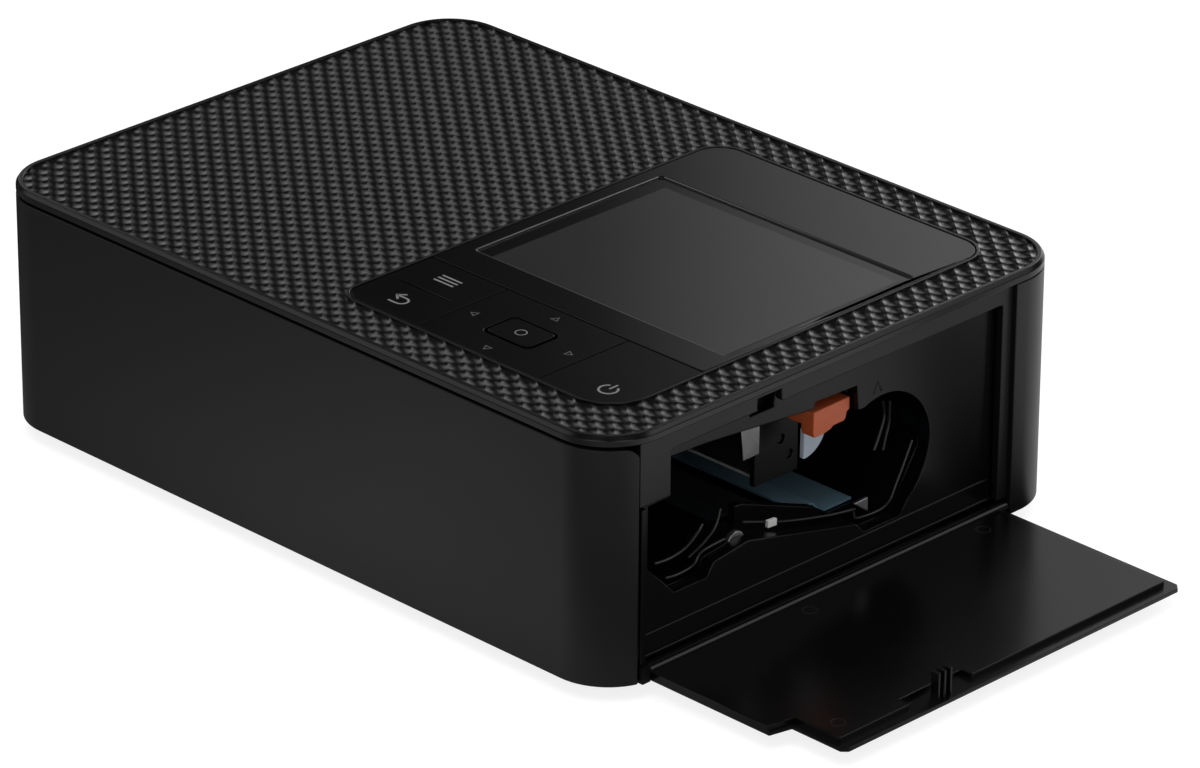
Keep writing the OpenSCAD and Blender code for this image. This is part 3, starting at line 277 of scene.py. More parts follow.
# black mouldings: the index of refraction sets how much each one mirrors
material("lid_plastic", (0.003, 0.003, 0.0031), 0.24, grain=0.3, ior=1.45, vary=0.06)
material("cover_plastic", (0.0045, 0.0045, 0.0047), 0.38, grain=0.35, ior=1.42, vary=0.05)
material("shell_plastic", (0.005, 0.005, 0.0052), 0.36, grain=0.35, ior=1.42, vary=0.06)
material("inner_plastic", (0.003, 0.003, 0.0032), 0.5, grain=0.5, ior=1.3, vary=0.1)
# frame_plastic and door_plastic are darker blacks than the shell's: painted shade for the
# shaded bay frame and the door's inner face
material("frame_plastic", (0.0014, 0.0014, 0.0015), 0.24, grain=0.3, ior=1.33, vary=0.08)
material("door_plastic", (0.0018, 0.0018, 0.0019), 0.24, grain=0.3, ior=1.4, vary=0.08)
material("cradle_plastic", (0.002, 0.002, 0.0022), 0.24, grain=0.2, ior=1.35, vary=0.08)
material("head_plastic", (0.003, 0.0033, 0.004), 0.34, grain=0.3, ior=1.4, vary=0.08)
material("rib_plastic", (0.02, 0.02, 0.022), 0.18, grain=0.15)
material("key_plastic", (0.0022, 0.0022, 0.0023), 0.2, grain=0.25, ior=1.24, vary=0.06)
material("panel_gloss", (0.0035, 0.0035, 0.0037), 0.1, ior=1.45, vary=0.06, tone_scale=25)
material("screen_gloss", (0.02, 0.02, 0.0205), 0.12, ior=1.45, vary=0.06, tone_scale=18)

# coloured and pale parts
material(
    "orange_plastic", (0.54, 0.1, 0.028), 0.36,
    grain=0.3, grain_scale=1800, coat=0.15, coat_rough=0.25,
)
material(
    "pale_plastic", (0.5, 0.57, 0.66), 0.3,
    grain=0.2, grain_scale=1600, coat=0.2, coat_rough=0.2,
)
material("white_plastic", (0.62, 0.62, 0.59), 0.45, grain=0.4, grain_scale=1800)
material("ceramic_white", (0.72, 0.72, 0.7), 0.25, grain=0.15, grain_scale=2600)
material("foot_rubber", (0.018, 0.018, 0.018), 0.75, grain=0.8, grain_scale=1500)
material("roller_rubber", (0.022, 0.022, 0.023), 0.62, grain=0.9, grain_scale=2200)
material(
    "board", (0.012, 0.08, 0.035), 0.35,
    grain=0.3, grain_scale=1600, spots=0.1, spot_color=(0.35, 0.33, 0.3),
)
material("flex", (0.35, 0.15, 0.035), 0.3, grain=0.2, grain_scale=1400)
material("print_grey", (0.15, 0.15, 0.15), 0.5, grain=0.2, grain_scale=2600)
material("print_dim", (0.05, 0.05, 0.05), 0.5, grain=0.2, grain_scale=2600)

# metals; sheets and shafts are brushed along x
material(
    "steel", (0.42, 0.43, 0.45), 0.32,
    metal=1.0, grain=0.3, brushed=(180, 2600, 2600), vary=0.3,
)
material(
    "bright_steel", (0.62, 0.62, 0.63), 0.22,
    metal=1.0, grain=0.2, brushed=(160, 2400, 2400), vary=0.3,
)
material(
    "blue_steel", (0.17, 0.29, 0.37), 0.4,
    metal=0.25, grain=0.2, brushed=(200, 1800, 1800),
)
material(
    "aluminium", (0.5, 0.5, 0.51), 0.35,
    metal=1.0, grain=0.3, brushed=(60, 2600, 2600),
)
material("bush_brass", (0.5, 0.33, 0.14), 0.3, metal=1.0, grain=0.3, grain_scale=2400)


def shade_across(name, axis, stops):
    """Paints shade into a finish along one axis of the object; stops are places in metres and
    greys.
    """
    nodes = Nodes(MATS[name])
    shader = next(q for q in nodes.tree.nodes if q.type == "BSDF_PRINCIPLED")
    base = shader.inputs["Base Color"]
    color = base.links[0].from_socket
    nodes.link(nodes.combine("MULTIPLY", color, nodes.along(axis, stops)), base)


# painted shade: the upper paper guide is darkened towards its front bend, where it lies in
# shade
GUIDE_PAINTED_SHADE, GUIDE_PAINTED_SHADE_END = -0.0165, -0.011  # m, along y
shade_across("blue_steel", Vector((0, 1, 0)), ((GUIDE_PAINTED_SHADE, 0.03), (GUIDE_PAINTED_SHADE_END, 1.0)))

SLOT_OF = {s["node"]: s["material_slot"] for s in frame["record"]["subparts"]}
BODIES = frame["record"]["behaviour"]["bodies"]
BODY_OF = {node: body for body, nodes in BODIES.items() for node in nodes}
for node, ob in NODES.items():
    if ob.material_slots:
        ob.material_slots[0].material = MATS[SLOT_OF[node]]
    else:
        ob.data.materials.append(MATS[SLOT_OF[node]])


# ---------------------------------------------------------------- mesh helpers
WELD = 1e-6  # m, points nearer than this are one
FLAT = 0.6  # degrees, faces nearer than this are one flat
MITER = 0.4  # how near to nothing the divisor of a line's corner may come


def smooth_faces(ob, sharp):
    """Smooth shading, except over edges sharper than an angle in degrees."""
    for polygon in ob.data.polygons:
        polygon.use_smooth = True
    ob.data.set_sharp_from_angle(angle=math.radians(sharp))


def piece(name, verts, faces, slot, body="housing", mat=None, sharp=35.0):
    """A mesh from body-centred mm points, riding on a body; sharp=None shades it flat."""
    mesh = bpy.data.meshes.new(name)
    mesh.from_pydata([in_frame(*v) for v in verts], [], faces)
    mesh.validate()
    ob = add_object(name, mesh)
    bm = bmesh.new()
    bm.from_mesh(mesh)
    bmesh.ops.remove_doubles(bm, verts=bm.verts, dist=WELD)
    bmesh.ops.recalc_face_normals(bm, faces=bm.faces)
    bm.to_mesh(mesh)
    bm.free()
    mesh.materials.append(MATS[mat or slot])
    if sharp:
        smooth_faces(ob, sharp)
    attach(ob, body)
    return ob


def bevel(ob, radius, segments=2, angle=32.0, by="ANGLE"):
    """Rounds edges; by is ANGLE, or WEIGHT where the mesh says which edges."""
    m = ob.modifiers.new("bevel", "BEVEL")
    m.width = radius * MM
    m.segments = segments
    m.limit_method = by
    m.angle_limit = math.radians(angle)
    m.use_clamp_overlap = False
    m.harden_normals = True
    m.miter_outer = "MITER_ARC"
    return ob


def dress(node, radius=0.0, segments=2, merge_flats=True, angle=32.0):
    """A finished copy of a CAD node, outward edges rounded; it stands for the node."""
    mesh = NODES[node].data.copy()
    mesh.name = node + "_skin"
    if "custom_normal" in mesh.attributes:
        mesh.attributes.remove(mesh.attributes["custom_normal"])
    ob = add_object(mesh.name, mesh)
    bm = bmesh.new()
    bm.from_mesh(mesh)
    bmesh.ops.remove_doubles(bm, verts=bm.verts, dist=3 * WELD)
    if merge_flats:
        bmesh.ops.dissolve_limit(
            bm, angle_limit=math.radians(FLAT), verts=bm.verts[:], edges=bm.edges[:]
        )
    weight = bm.edges.layers.float.new("bevel_weight_edge")
    for edge in bm.edges:
        if len(edge.link_faces) == 2 and edge.is_convex:
            if edge.calc_face_angle(0.0) > math.radians(angle):
                edge[weight] = 1.0
    bm.to_mesh(mesh)
    bm.free()
    mesh.materials.clear()
    mesh.materials.append(MATS[SLOT_OF[node]])
    smooth_faces(ob, angle)
    if radius:
        bevel(ob, radius, segments, angle, by="WEIGHT")
    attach(ob, BODY_OF[node])
    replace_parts(ob, node)
    return ob


def arc(cx, cy, radius, start, end, steps):
    """Points on an arc in plan, angles in degrees."""
    angles = [math.radians(start + (end - start) * i / steps) for i in range(steps + 1)]
    return [(cx + radius * math.cos(a), cy + radius * math.sin(a)) for a in angles]


def rounded(x0, x1, y0, y1, radii, seg=12):
    """Counter-clockwise outline; radii are front left, front right, back right, back left."""
    left_front, right_front, right_back, left_back = radii
    corners = (
        (x0 + left_front, y0 + left_front, left_front, 180),
        (x1 - right_front, y0 + right_front, right_front, 270),
        (x1 - right_back, y1 - right_back, right_back, 0),
        (x0 + left_back, y1 - left_back, left_back, 90),
    )
    return [p for cx, cy, r, start in corners for p in arc(cx, cy, r, start, start + 90, seg)]


def sweep(name, rings, slot, body="housing", mat=None, sharp=35.0):
    """A closed skin over rings of points, all of one count, with both ends capped."""
    n = len(rings[0])
    verts = [v for ring in rings for v in ring]
    faces = []
    for i in range(len(rings) - 1):
        for k in range(n):
            a, b = i * n + k, i * n + (k + 1) % n
            faces.append((a, b, b + n, a + n))
    faces.append(tuple(range(n))[::-1])
    faces.append(tuple((len(rings) - 1) * n + k for k in range(n)))
    return piece(name, verts, faces, slot, body, mat, sharp)


def along_x(name, outline, x0, x1, slot, body, radius, segments=3, mat=None):
    """A plate cut to an outline of (y, z) points, from x0 to x1, with rounded edges."""
    rings = [[(x, y, z) for y, z in outline] for x in (x0, x1)]
    return bevel(sweep(name, rings, slot, body, mat), radius, segments)


def stroke(name, points, width, z, body, mat="print_grey", closed=False, slot="key_plastic"):
    """A flat printed line of constant width along points in plan."""
    depth = 0.05
    n = len(points)
    one_side, other_side = [], []
    for i, p in enumerate(points):
        before = points[(i - 1) % n] if (closed or i) else p
        after = points[(i + 1) % n] if (closed or i < n - 1) else p
        d1 = Vector((p[0] - before[0], p[1] - before[1]))
        d2 = Vector((after[0] - p[0], after[1] - p[1]))
        d1 = d1.normalized() if d1.length else d2.normalized()
        d2 = d2.normalized() if d2.length else d1
        n1, n2 = Vector((-d1.y, d1.x)), Vector((-d2.y, d2.x))
        miter = (n1 + n2) / max(MITER, 1 + n1.dot(n2)) * (width / 2)
        one_side.append((p[0] + miter.x, p[1] + miter.y))
        other_side.append((p[0] - miter.x, p[1] - miter.y))
    verts = [(x, y, h) for h in (z - depth, z) for x, y in one_side + other_side]
    faces = []
    k = 2 * n
    for i in range(n if closed else n - 1):
        j = (i + 1) % n
        faces.append((k + i, k + n + i, k + n + j, k + j))
        faces.append((i, j, n + j, n + i))
        faces.append((i, k + i, k + j, j))
        faces.append((n + i, n + j, k + n + j, k + n + i))
    if not closed:
        faces.append((0, n, k + n, k))
        faces.append((n - 1, k + n - 1, k + 2 * n - 1, 2 * n - 1))
    return piece(name, verts, faces, slot, body, mat, sharp=None)


# ---------------------------------------------------------------- lid texture
# A field of hollow dishes: each surface climbs to sharp straight ridges it shares with its
# four neighbours. Whole dishes come from one node tree; those that the lid's rim or the
# control panel cuts are clipped to the line.
DISH_Z = 56.93  # the middle of a dish
RISE_U, RISE_V = 0.3, 0.3  # of the two pairs of ridges over it
HALF_X, HALF_Y = 2.595, 2.135  # half diagonals of a dish in plan
PHASE_U, PHASE_V = 0.04, -0.375  # where the lattice starts, in dishes
SIDES = 6  # faces along a side of a dish
DISH_SHARP = 22  # degrees

GAP = 0.3  # between the panel's pieces and the lid
RIM = 1.6  # plain border of the lid
LIP = 0.7  # plain border round the panel
LID_CORNER = 13.2
PANEL_CORNERS = (5.0, 9.5, 7.0, 6.5)  # of the opening, in the order of rounded()
lid_low, lid_high = box_mm("top_cover")
glass_low, glass_high = box_mm("panel_window")
key_low, key_high = box_mm("power_key")


def clip(poly, a, b, c):
    """The part of a convex polygon where a*x + b*y <= c; z is carried along."""
    out = []
    n = len(poly)
    for i in range(n):
        p, q = poly[i], poly[(i + 1) % n]
        dp, dq = a * p[0] + b * p[1] - c, a * q[0] + b * q[1] - c
        if dp <= 0:
            out.append(p)
        if (dp < 0 < dq) or (dq < 0 < dp):
            t = dp / (dp - dq)
            out.append(tuple(p[k] + (q[k] - p[k]) * t for k in range(3)))
    return out


def inside(poly, planes):
    """What is left of a convex polygon within all half planes."""
    for plane in planes:
        poly = clip(poly, *plane)
        if len(poly) < 3:
            return []
    return poly


def outside(poly, planes):
    """The parts of a convex polygon that lie outside a convex outline."""
    parts = []
    for a, b, c in planes:
        part = clip(poly, -a, -b, -c)
        if len(part) >= 3:
            parts.append(part)
        poly = clip(poly, a, b, c)
        if len(poly) < 3:
            break
    return parts


def half_planes(outline):
    """Half planes a*x + b*y <= c of a convex counter-clockwise outline."""
    planes = []
    for (x0, y0), (x1, y1) in zip(outline, outline[1:] + outline[:1]):
        dx, dy = x1 - x0, y1 - y0
        d = math.hypot(dx, dy)
        if d > 1e-6:
            a, b = dy / d, -dx / d
            planes.append((a, b, a * x0 + b * y0))
    return planes


def in_plan(u, v):
    """Lattice numbers to millimetres in plan."""
    return HALF_X * (u + v), HALF_Y * (u - v)


def dish_faces(u, v):
    """The faces of one dish, for a dish that is cut."""
    n = SIDES + 1
    grid = []
    for i in range(n):
        for j in range(n):
            a, b = i / SIDES - 0.5, j / SIDES - 0.5
            z = DISH_Z + RISE_U * 4 * a * a + RISE_V * 4 * b * b
            grid.append((*in_plan(u + a, v + b), z))
    return [
        [grid[k] for k in (i * n + j, i * n + j + 1, (i + 1) * n + j + 1, (i + 1) * n + j)]
        for i in range(SIDES)
        for j in range(SIDES)
    ]


def lay_out_dishes():
    """The middles of the whole dishes, and the clipped faces of the cut ones."""
    rim = half_planes(
        rounded(
            lid_low[0] + RIM, lid_high[0] - RIM, lid_low[1] + RIM, lid_high[1] - RIM,
            [LID_CORNER - RIM] * 4, seg=10,
        )
    )
    margin = GAP + LIP
    hole = half_planes(
        rounded(
            glass_low[0] - margin, glass_high[0] + margin,
            key_low[1] - margin, glass_high[1] + margin,
            [r + LIP for r in PANEL_CORNERS], seg=8,
        )
    )
    # dishes along the lattice from the middle to past a corner of the lid
    reach = math.ceil((lid_high[0] / HALF_X + lid_high[1] / HALF_Y) / 2) + 1
    whole, cut = [], []
    for m in range(-reach, reach + 1):
        for k in range(-reach, reach + 1):
            u, v = k + PHASE_U, m + PHASE_V
            corners = [
                in_plan(u + a, v + b)
                for a, b in ((0.5, 0.5), (-0.5, 0.5), (-0.5, -0.5), (0.5, -0.5))
            ]
            if any(all(a * x + b * y > c for x, y in corners) for a, b, c in rim):
                continue
            if all(a * x + b * y < c for a, b, c in hole for x, y in corners):
                continue
            cuts = [h for h in rim if any(h[0] * x + h[1] * y > h[2] for x, y in corners)]
            clear = any(all(a * x + b * y > c for x, y in corners) for a, b, c in hole)
            if clear and not cuts:
                whole.append((*in_plan(u, v), DISH_Z))
                continue
            for face in dish_faces(u, v):
                face = inside(face, cuts)
                if face:
                    cut += [face] if clear else outside(face, hole)
    return whole, cut


def loose_faces(polygons):
    """Points and faces of polygons that share no points yet."""
    verts, faces = [], []
    for polygon in polygons:
        faces.append(tuple(range(len(verts), len(verts) + len(polygon))))
        verts += polygon
    return verts, faces


def geometry_tree(name, inputs):
    """An empty tree with a geometry in and out and named sizes."""
    tree = bpy.data.node_groups.new(name, "GeometryNodeTree")
    add = tree.interface.new_socket
    add("Geometry", in_out="INPUT", socket_type="NodeSocketGeometry")
    for label, value in inputs.items():
        add(label, in_out="INPUT", socket_type="NodeSocketFloat").default_value = value
    add("Geometry", in_out="OUTPUT", socket_type="NodeSocketGeometry")
    return tree, tree.nodes.new("NodeGroupInput"), tree.nodes.new("NodeGroupOutput")


def dish_tree(sizes):
    """A square net bent into a dish, laid out on the points as a field of rhombs."""
    tree, given, result = geometry_tree("dish_field", sizes)

    def feed(socket, source):
        if isinstance(source, bpy.types.NodeSocket):
            tree.links.new(source, socket)
        else:
            socket.default_value = source

    def add(kind, **sources):
        """A node fed by the names of its sockets, with _ for a blank; its first output."""
        node = tree.nodes.new(kind)
        for key, source in sources.items():
            feed(node.inputs[key.replace("_", " ")], source)
        return node.outputs[0]

    def calc(operation, a, b):
        node = tree.nodes.new("ShaderNodeMath")
        node.operation = operation
        feed(node.inputs[0], a)
        feed(node.inputs[1], b)
        return node.outputs[0]

    def climb(coordinate, rise):
        square = calc("MULTIPLY", calc("MULTIPLY", coordinate, coordinate), 4.0)
        return calc("MULTIPLY", square, rise)

    net = add(
        "GeometryNodeMeshGrid",
        Size_X=1.0, Size_Y=1.0, Vertices_X=SIDES + 1, Vertices_Y=SIDES + 1,
    )
    apart = tree.nodes.new("ShaderNodeSeparateXYZ")
    tree.links.new(add("GeometryNodeInputPosition"), apart.inputs[0])
    a, b = apart.outputs[0], apart.outputs[1]
    place = add(
        "ShaderNodeCombineXYZ",
        X=calc("MULTIPLY", calc("ADD", a, b), given.outputs["Half X"]),
        Y=calc("MULTIPLY", calc("SUBTRACT", a, b), given.outputs["Half Y"]),
        Z=calc("ADD", climb(a, given.outputs["Rise U"]), climb(b, given.outputs["Rise V"])),
    )
    dish = add("GeometryNodeSetPosition", Geometry=net, Position=place)
    dish = add("GeometryNodeFlipFaces", Mesh=dish)
    field = add("GeometryNodeInstanceOnPoints", Points=given.outputs[0], Instance=dish)
    field = add("GeometryNodeRealizeInstances", Geometry=field)
    field = add("GeometryNodeMergeByDistance", Geometry=field, Distance=2 * WELD)
    field = add("GeometryNodeSetMaterial", Geometry=field, Material=MATS["lid_plastic"])
    tree.links.new(field, result.inputs[0])
    return tree


def run_tree(name, points, tree, values, sharp):
    """Runs a node tree on a cloud of points and keeps the result as a plain mesh."""
    mesh = bpy.data.meshes.new(name + "_points")
    mesh.from_pydata([in_frame(*p) for p in points], [], [])
    ob = add_object(name, mesh)
    repeat = ob.modifiers.new("repeat", "NODES")
    repeat.node_group = tree
    for item in tree.interface.items_tree:
        if item.in_out == "INPUT" and item.name in values:
            repeat[item.identifier] = values[item.name]
    bpy.context.view_layer.update()
    depsgraph = bpy.context.evaluated_depsgraph_get()
    plain = bpy.data.meshes.new_from_object(ob.evaluated_get(depsgraph), depsgraph=depsgraph)
    ob.modifiers.remove(repeat)
    ob.data = plain
    plain.name = name
    smooth_faces(ob, sharp)
    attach(ob, "housing")


whole_dishes, cut_faces = lay_out_dishes()
piece("lid_texture_border", *loose_faces(cut_faces), "lid_plastic", sharp=DISH_SHARP)
dish_sizes = {
    "Half X": HALF_X * MM,
    "Half Y": HALF_Y * MM,
    "Rise U": RISE_U * MM,
    "Rise V": RISE_V * MM,
}
run_tree(
    "lid_texture", whole_dishes, dish_tree(dish_sizes), dish_sizes, DISH_SHARP
)

# ---------------------------------------------------------------- shell and mechanism skins
# node, edge radius, segments, whether flat faces are merged first (not where holes are many)
SKINS = (
    ("top_cover", 0.18, 3, False),
    ("front_cover", 0.3, 3, True),
    ("main_casing", 0.25, 2, False),
    ("bay_frame", 0.32, 3, True),
    ("cassette_door", 0.2, 2, True),
    ("lever_flag", 0.2, 2, True),
    ("head_carrier", 0.2, 2, True),
    ("head_arm", 0.12, 2, True),
    ("cassette_cradle", 0.25, 2, True),
    ("paper_guide_upper", 0.08, 1, True),
)
for skin in SKINS:
    dress(*skin)


# ---------------------------------------------------------------- control panel
WELL = (5.6, 77.5, -20.1, 34.3)  # x and y of the sunken display area
WELL_CORNER = 1.3
WELL_STEPS = ((0.0, 0.0), (0.42, 0.12), (0.46, 0.44))  # inset and depth down its wall
GLASS_FOOT = 0.05  # how far the glass stays above the foot of its node
SCREEN = (10.2, 76.0, -19.3, 30.8)  # x and y of the display itself
SCREEN_Z = (57.05, 57.1)


def panel_glass():
    """Gloss window over the display, with a sunken area whose walls slope."""
    top = glass_high[2]
    front, back_right, back_left = 0.5, PANEL_CORNERS[2] - GAP, PANEL_CORNERS[3] - GAP
    edge = rounded(
        glass_low[0], glass_high[0], glass_low[1], glass_high[1],
        [front, front, back_right, back_left],
    )
    rings = [[(x, y, z) for x, y in edge] for z in (glass_low[2] + GLASS_FOOT, top)]
    x0, x1, y0, y1 = WELL
    for inset, depth in WELL_STEPS:
        wall = rounded(
            x0 + inset, x1 - inset, y0 + inset, y1 - inset,
            [max(0.1, WELL_CORNER - inset)] * 4,
        )
        rings.append([(x, y, top - depth) for x, y in wall])
    glass = sweep("panel_glass", rings, "panel_gloss", sharp=8)
    return bevel(glass, radius=0.12, segments=3, angle=9)


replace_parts(panel_glass(), "panel_window")
sweep(
    "screen_area",
    [[(x, y, z) for x, y in rounded(*SCREEN, [0.4] * 4, 3)] for z in SCREEN_Z],
    "screen_gloss",
)
for key in ("menu_back_key", "direction_plate", "ok_button", "power_key"):
    dress(key, 0.16, 3)

# printed symbols: bars for the menu, a return arrow, a ring, a power sign, four arrows
INK = 0.012  # how far a print stands over its key
BOLD, RING_LINE, ARROW_LINE = 0.5, 0.24, 0.26
Z_INK = key_high[2] + INK
ok_low, ok_high = box_mm("ok_button")
MENU_X, MENU_Y, MENU_PITCH = (10.2, 15.8), -34.3, 1.25
BEND_X, BACK_Y, BEND_R = 13.4, -46.1, 1.45  # where the return arrow starts to turn
TIP_X, BARB_X, BARB_Y, TAIL_X = 10.6, 12.2, 1.4, 11.0
POWER_X, POWER_Y, POWER_R = 71.5, -47.2, 1.95
POWER_BAR = (0.3, 2.7)  # its ends, from the middle of the ring to the back
RING_R, ARROW_R = 1.2, 0.95
ARROWS = ((41.2, -31.7, 90), (41.2, -50.7, 270), (28.0, -41.4, 180), (54.4, -41.1, 0))
for i in range(3):
    bar_y = MENU_Y + (i - 1) * MENU_PITCH
    stroke(f"icon_menu_{i}", [(x, bar_y) for x in MENU_X], BOLD, Z_INK, "menu_key")
stroke(
    "icon_back_line",
    [(TIP_X, BACK_Y), (BEND_X, BACK_Y)]
    + arc(BEND_X, BACK_Y - BEND_R, BEND_R, 90, -90, 10)
    + [(TAIL_X, BACK_Y - 2 * BEND_R)],
    BOLD, Z_INK, "menu_key",
)
stroke(
    "icon_back_head",
    [(BARB_X, BACK_Y + BARB_Y), (TIP_X, BACK_Y), (BARB_X, BACK_Y - BARB_Y)],
    BOLD, Z_INK, "menu_key",
)
stroke(
    "icon_ok_ring",
    arc((ok_low[0] + ok_high[0]) / 2, (ok_low[1] + ok_high[1]) / 2, RING_R, 0, 345, 23),
    RING_LINE, ok_high[2] + INK, "ok", closed=True,
)
stroke(
    "icon_power_ring", arc(POWER_X, POWER_Y, POWER_R, 122, 418, 24), BOLD, Z_INK, "power"
)
stroke(
    "icon_power_bar",
    [(POWER_X, POWER_Y + end) for end in POWER_BAR],
    BOLD, Z_INK, "power",
)
for i, (x, y, turn) in enumerate(ARROWS):
    stroke(
        f"icon_arrow_{i}", arc(x, y, ARROW_R, turn, turn + 240, 2),
        ARROW_LINE, Z_INK, "dpad", mat="print_dim", closed=True,
    )


# ---------------------------------------------------------------- eject lever
LEVER_SLOT, LEVER_BODY = SLOT_OF["eject_lever"], BODY_OF["eject_lever"]
lever_low, lever_high = box_mm("eject_lever")
STEM_LENGTH, GRIP_LENGTH, LEDGE = 4.2, 3.5, 0.2  # along x; the parts of the lever overlap

grip = along_x(
    "eject_lever_grip",
    (
        (-4.4, 43.1), (-4.5, 38.5), (-4.2, 37.45), (-1.3, 37.45), (0.7, 37.9), (1.3, 38.4),
        (4.4, 38.4), (5.0, 39.0), (5.2, 40.2), (6.05, 40.6), (6.05, 43.3),
    ),
    lever_high[0] - GRIP_LENGTH, lever_high[0] - 0.05, LEVER_SLOT, LEVER_BODY, 0.28,
)
stem = along_x(
    "eject_lever_stem",
    ((-4.2, 43.2), (-4.2, 39.4), (5.4, 41.4), (5.4, 43.2)),
    lever_low[0], lever_low[0] + STEM_LENGTH, LEVER_SLOT, LEVER_BODY, 0.25,
)
ledge = along_x(
    "eject_lever_ledge",
    ((-4.3, 40.1), (-4.3, 39.4), (4.9, 40.6), (4.9, 41.2)),
    lever_high[0] - LEDGE, lever_high[0], LEVER_SLOT, LEVER_BODY, 0.08,
)
for part in (grip, stem, ledge):
    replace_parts(part, "eject_lever")
spring = dress("lever_spring")
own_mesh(spring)


# ---------------------------------------------------------------- inside the ink bay
def soft_curve(points, steps):
    """Extra points on a soft curve through a few (Catmull-Rom)."""
    points = [Vector(p) for p in points]
    ends = [points[0] * 2 - points[1]] + points + [points[-1] * 2 - points[-2]]
    out = []
    for a, b, c, d in zip(ends, ends[1:], ends[2:], ends[3:]):
        for k in range(steps):
            t = k / steps
            turn = (2 * a - 5 * b + 4 * c - d) * t * t
            twist = (3 * b - a - 3 * c + d) * t ** 3
            out.append(0.5 * (2 * b + (c - a) * t + turn + twist))
    return out + [points[-1]]


def bead(name, path, radius, slot, mat, sides=8):
    """A rounded moulding line along a path of (x, y, z) points, closed at both ends."""
    around = [2 * math.pi * k / sides for k in range(sides)]
    rings = []
    for i, p in enumerate(path):
        d = (path[min(i + 1, len(path) - 1)] - path[max(i - 1, 0)]).normalized()
        a = d.cross(Vector((1, 0, 0))).normalized()
        b = d.cross(a)
        rings.append([tuple(p + (a * math.cos(t) + b * math.sin(t)) * radius) for t in around])
    return sweep(name, rings, slot, mat=mat, sharp=60)


BAY_SLOT = SLOT_OF["cassette_cradle"]
# name, x of the wall it lies on, radius, and its (y, z) points
BEADS = (
    (
        "bay_bead_front_1", 83.4, 0.32,
        ((-32.7, 27.4), (-34.1, 25.9), (-37.4, 23.8), (-41.9, 23.0), (-46.1, 23.3)),
    ),
    (
        "bay_bead_front_2", 83.4, 0.28,
        ((-27.6, 29.0), (-29.0, 25.5), (-32.3, 23.1), (-36.5, 21.3)),
    ),
    (
        "bay_bead_front_3", 84.4, 0.3,
        ((-27.4, 22.6), (-33.9, 22.0), (-36.1, 19.9), (-40.6, 19.4), (-44.0, 19.8)),
    ),
    (
        "bay_bead_low_1", 84.2, 0.28,
        ((-22.1, 24.4), (-9.4, 20.2), (2.0, 17.4), (8.2, 16.3), (10.6, 16.0)),
    ),
    (
        "bay_bead_low_2", 84.4, 0.28,
        ((10.0, 15.6), (11.2, 13.8), (19.5, 13.6), (22.9, 18.1), (27.1, 25.9)),
    ),
    (
        "bay_bead_rear_1", 78.0, 0.4,
        ((25.0, 33.3), (25.5, 29.6), (24.1, 25.6), (22.7, 22.9)),
    ),
    (
        "bay_bead_rear_2", 78.0, 0.4,
        ((27.1, 32.6), (27.0, 27.7), (26.2, 24.9), (25.4, 22.0)),
    ),
)
for name, x, radius, points in BEADS:
    path = soft_curve([(x, y, z) for y, z in points], 5)
    bead(name, path, radius, BAY_SLOT, "rib_plastic")

FITTING_FACE = 85.05  # x of the outer faces of the small fittings
# name, x of the inner face, edge radius, finish, and the (y, z) outline
FITTINGS = (
    ("bay_roller_end", 83.9, 0.2, "aluminium", arc(-24.7, 21.2, 2.3, 20, 200, 14)),
    (
        "bay_contact", 84.2, 0.15, "ceramic_white",
        ((-15.6, 22.6), (-15.6, 21.0), (-13.0, 20.8), (-13.0, 22.4)),
    ),
    ("bay_gusset", 84.2, 0.2, "steel", ((9.5, 17.7), (13.7, 14.6), (13.6, 17.9))),
)
for name, x, radius, mat, outline in FITTINGS:
    along_x(name, outline, x, FITTING_FACE, BAY_SLOT, "housing", radius, 2, mat)

# faint round marks of the ejector pins on the door
PIN_MARKS = ((132.8, 42.0), (131.0, -43.7), (94.7, -13.3), (94.7, 38.0))
PIN_RADIUS, PIN_LINE, PIN_Z = 1.5, 0.14, 5.52
for i, (x, y) in enumerate(PIN_MARKS):
    stroke(
        f"door_pin_mark_{i}", arc(x, y, PIN_RADIUS, 0, 345, 23), PIN_LINE, PIN_Z,
        BODY_OF["cassette_door"], mat="rib_plastic", closed=True,
        slot=SLOT_OF["cassette_door"],
    )


# ---------------------------------------------------------------- floor and backdrop
ACROSS = Vector((1, 1, 0)).normalized()  # to the right of the picture
AWAY = Vector((-1, 1, 0)).normalized()  # away from the camera
BACK = Vector((0, 1, 0))
RIGHT = Vector((1, 0, 0))
UP = Vector((0, 0, 1))
FLOOR_HALF = 8  # m


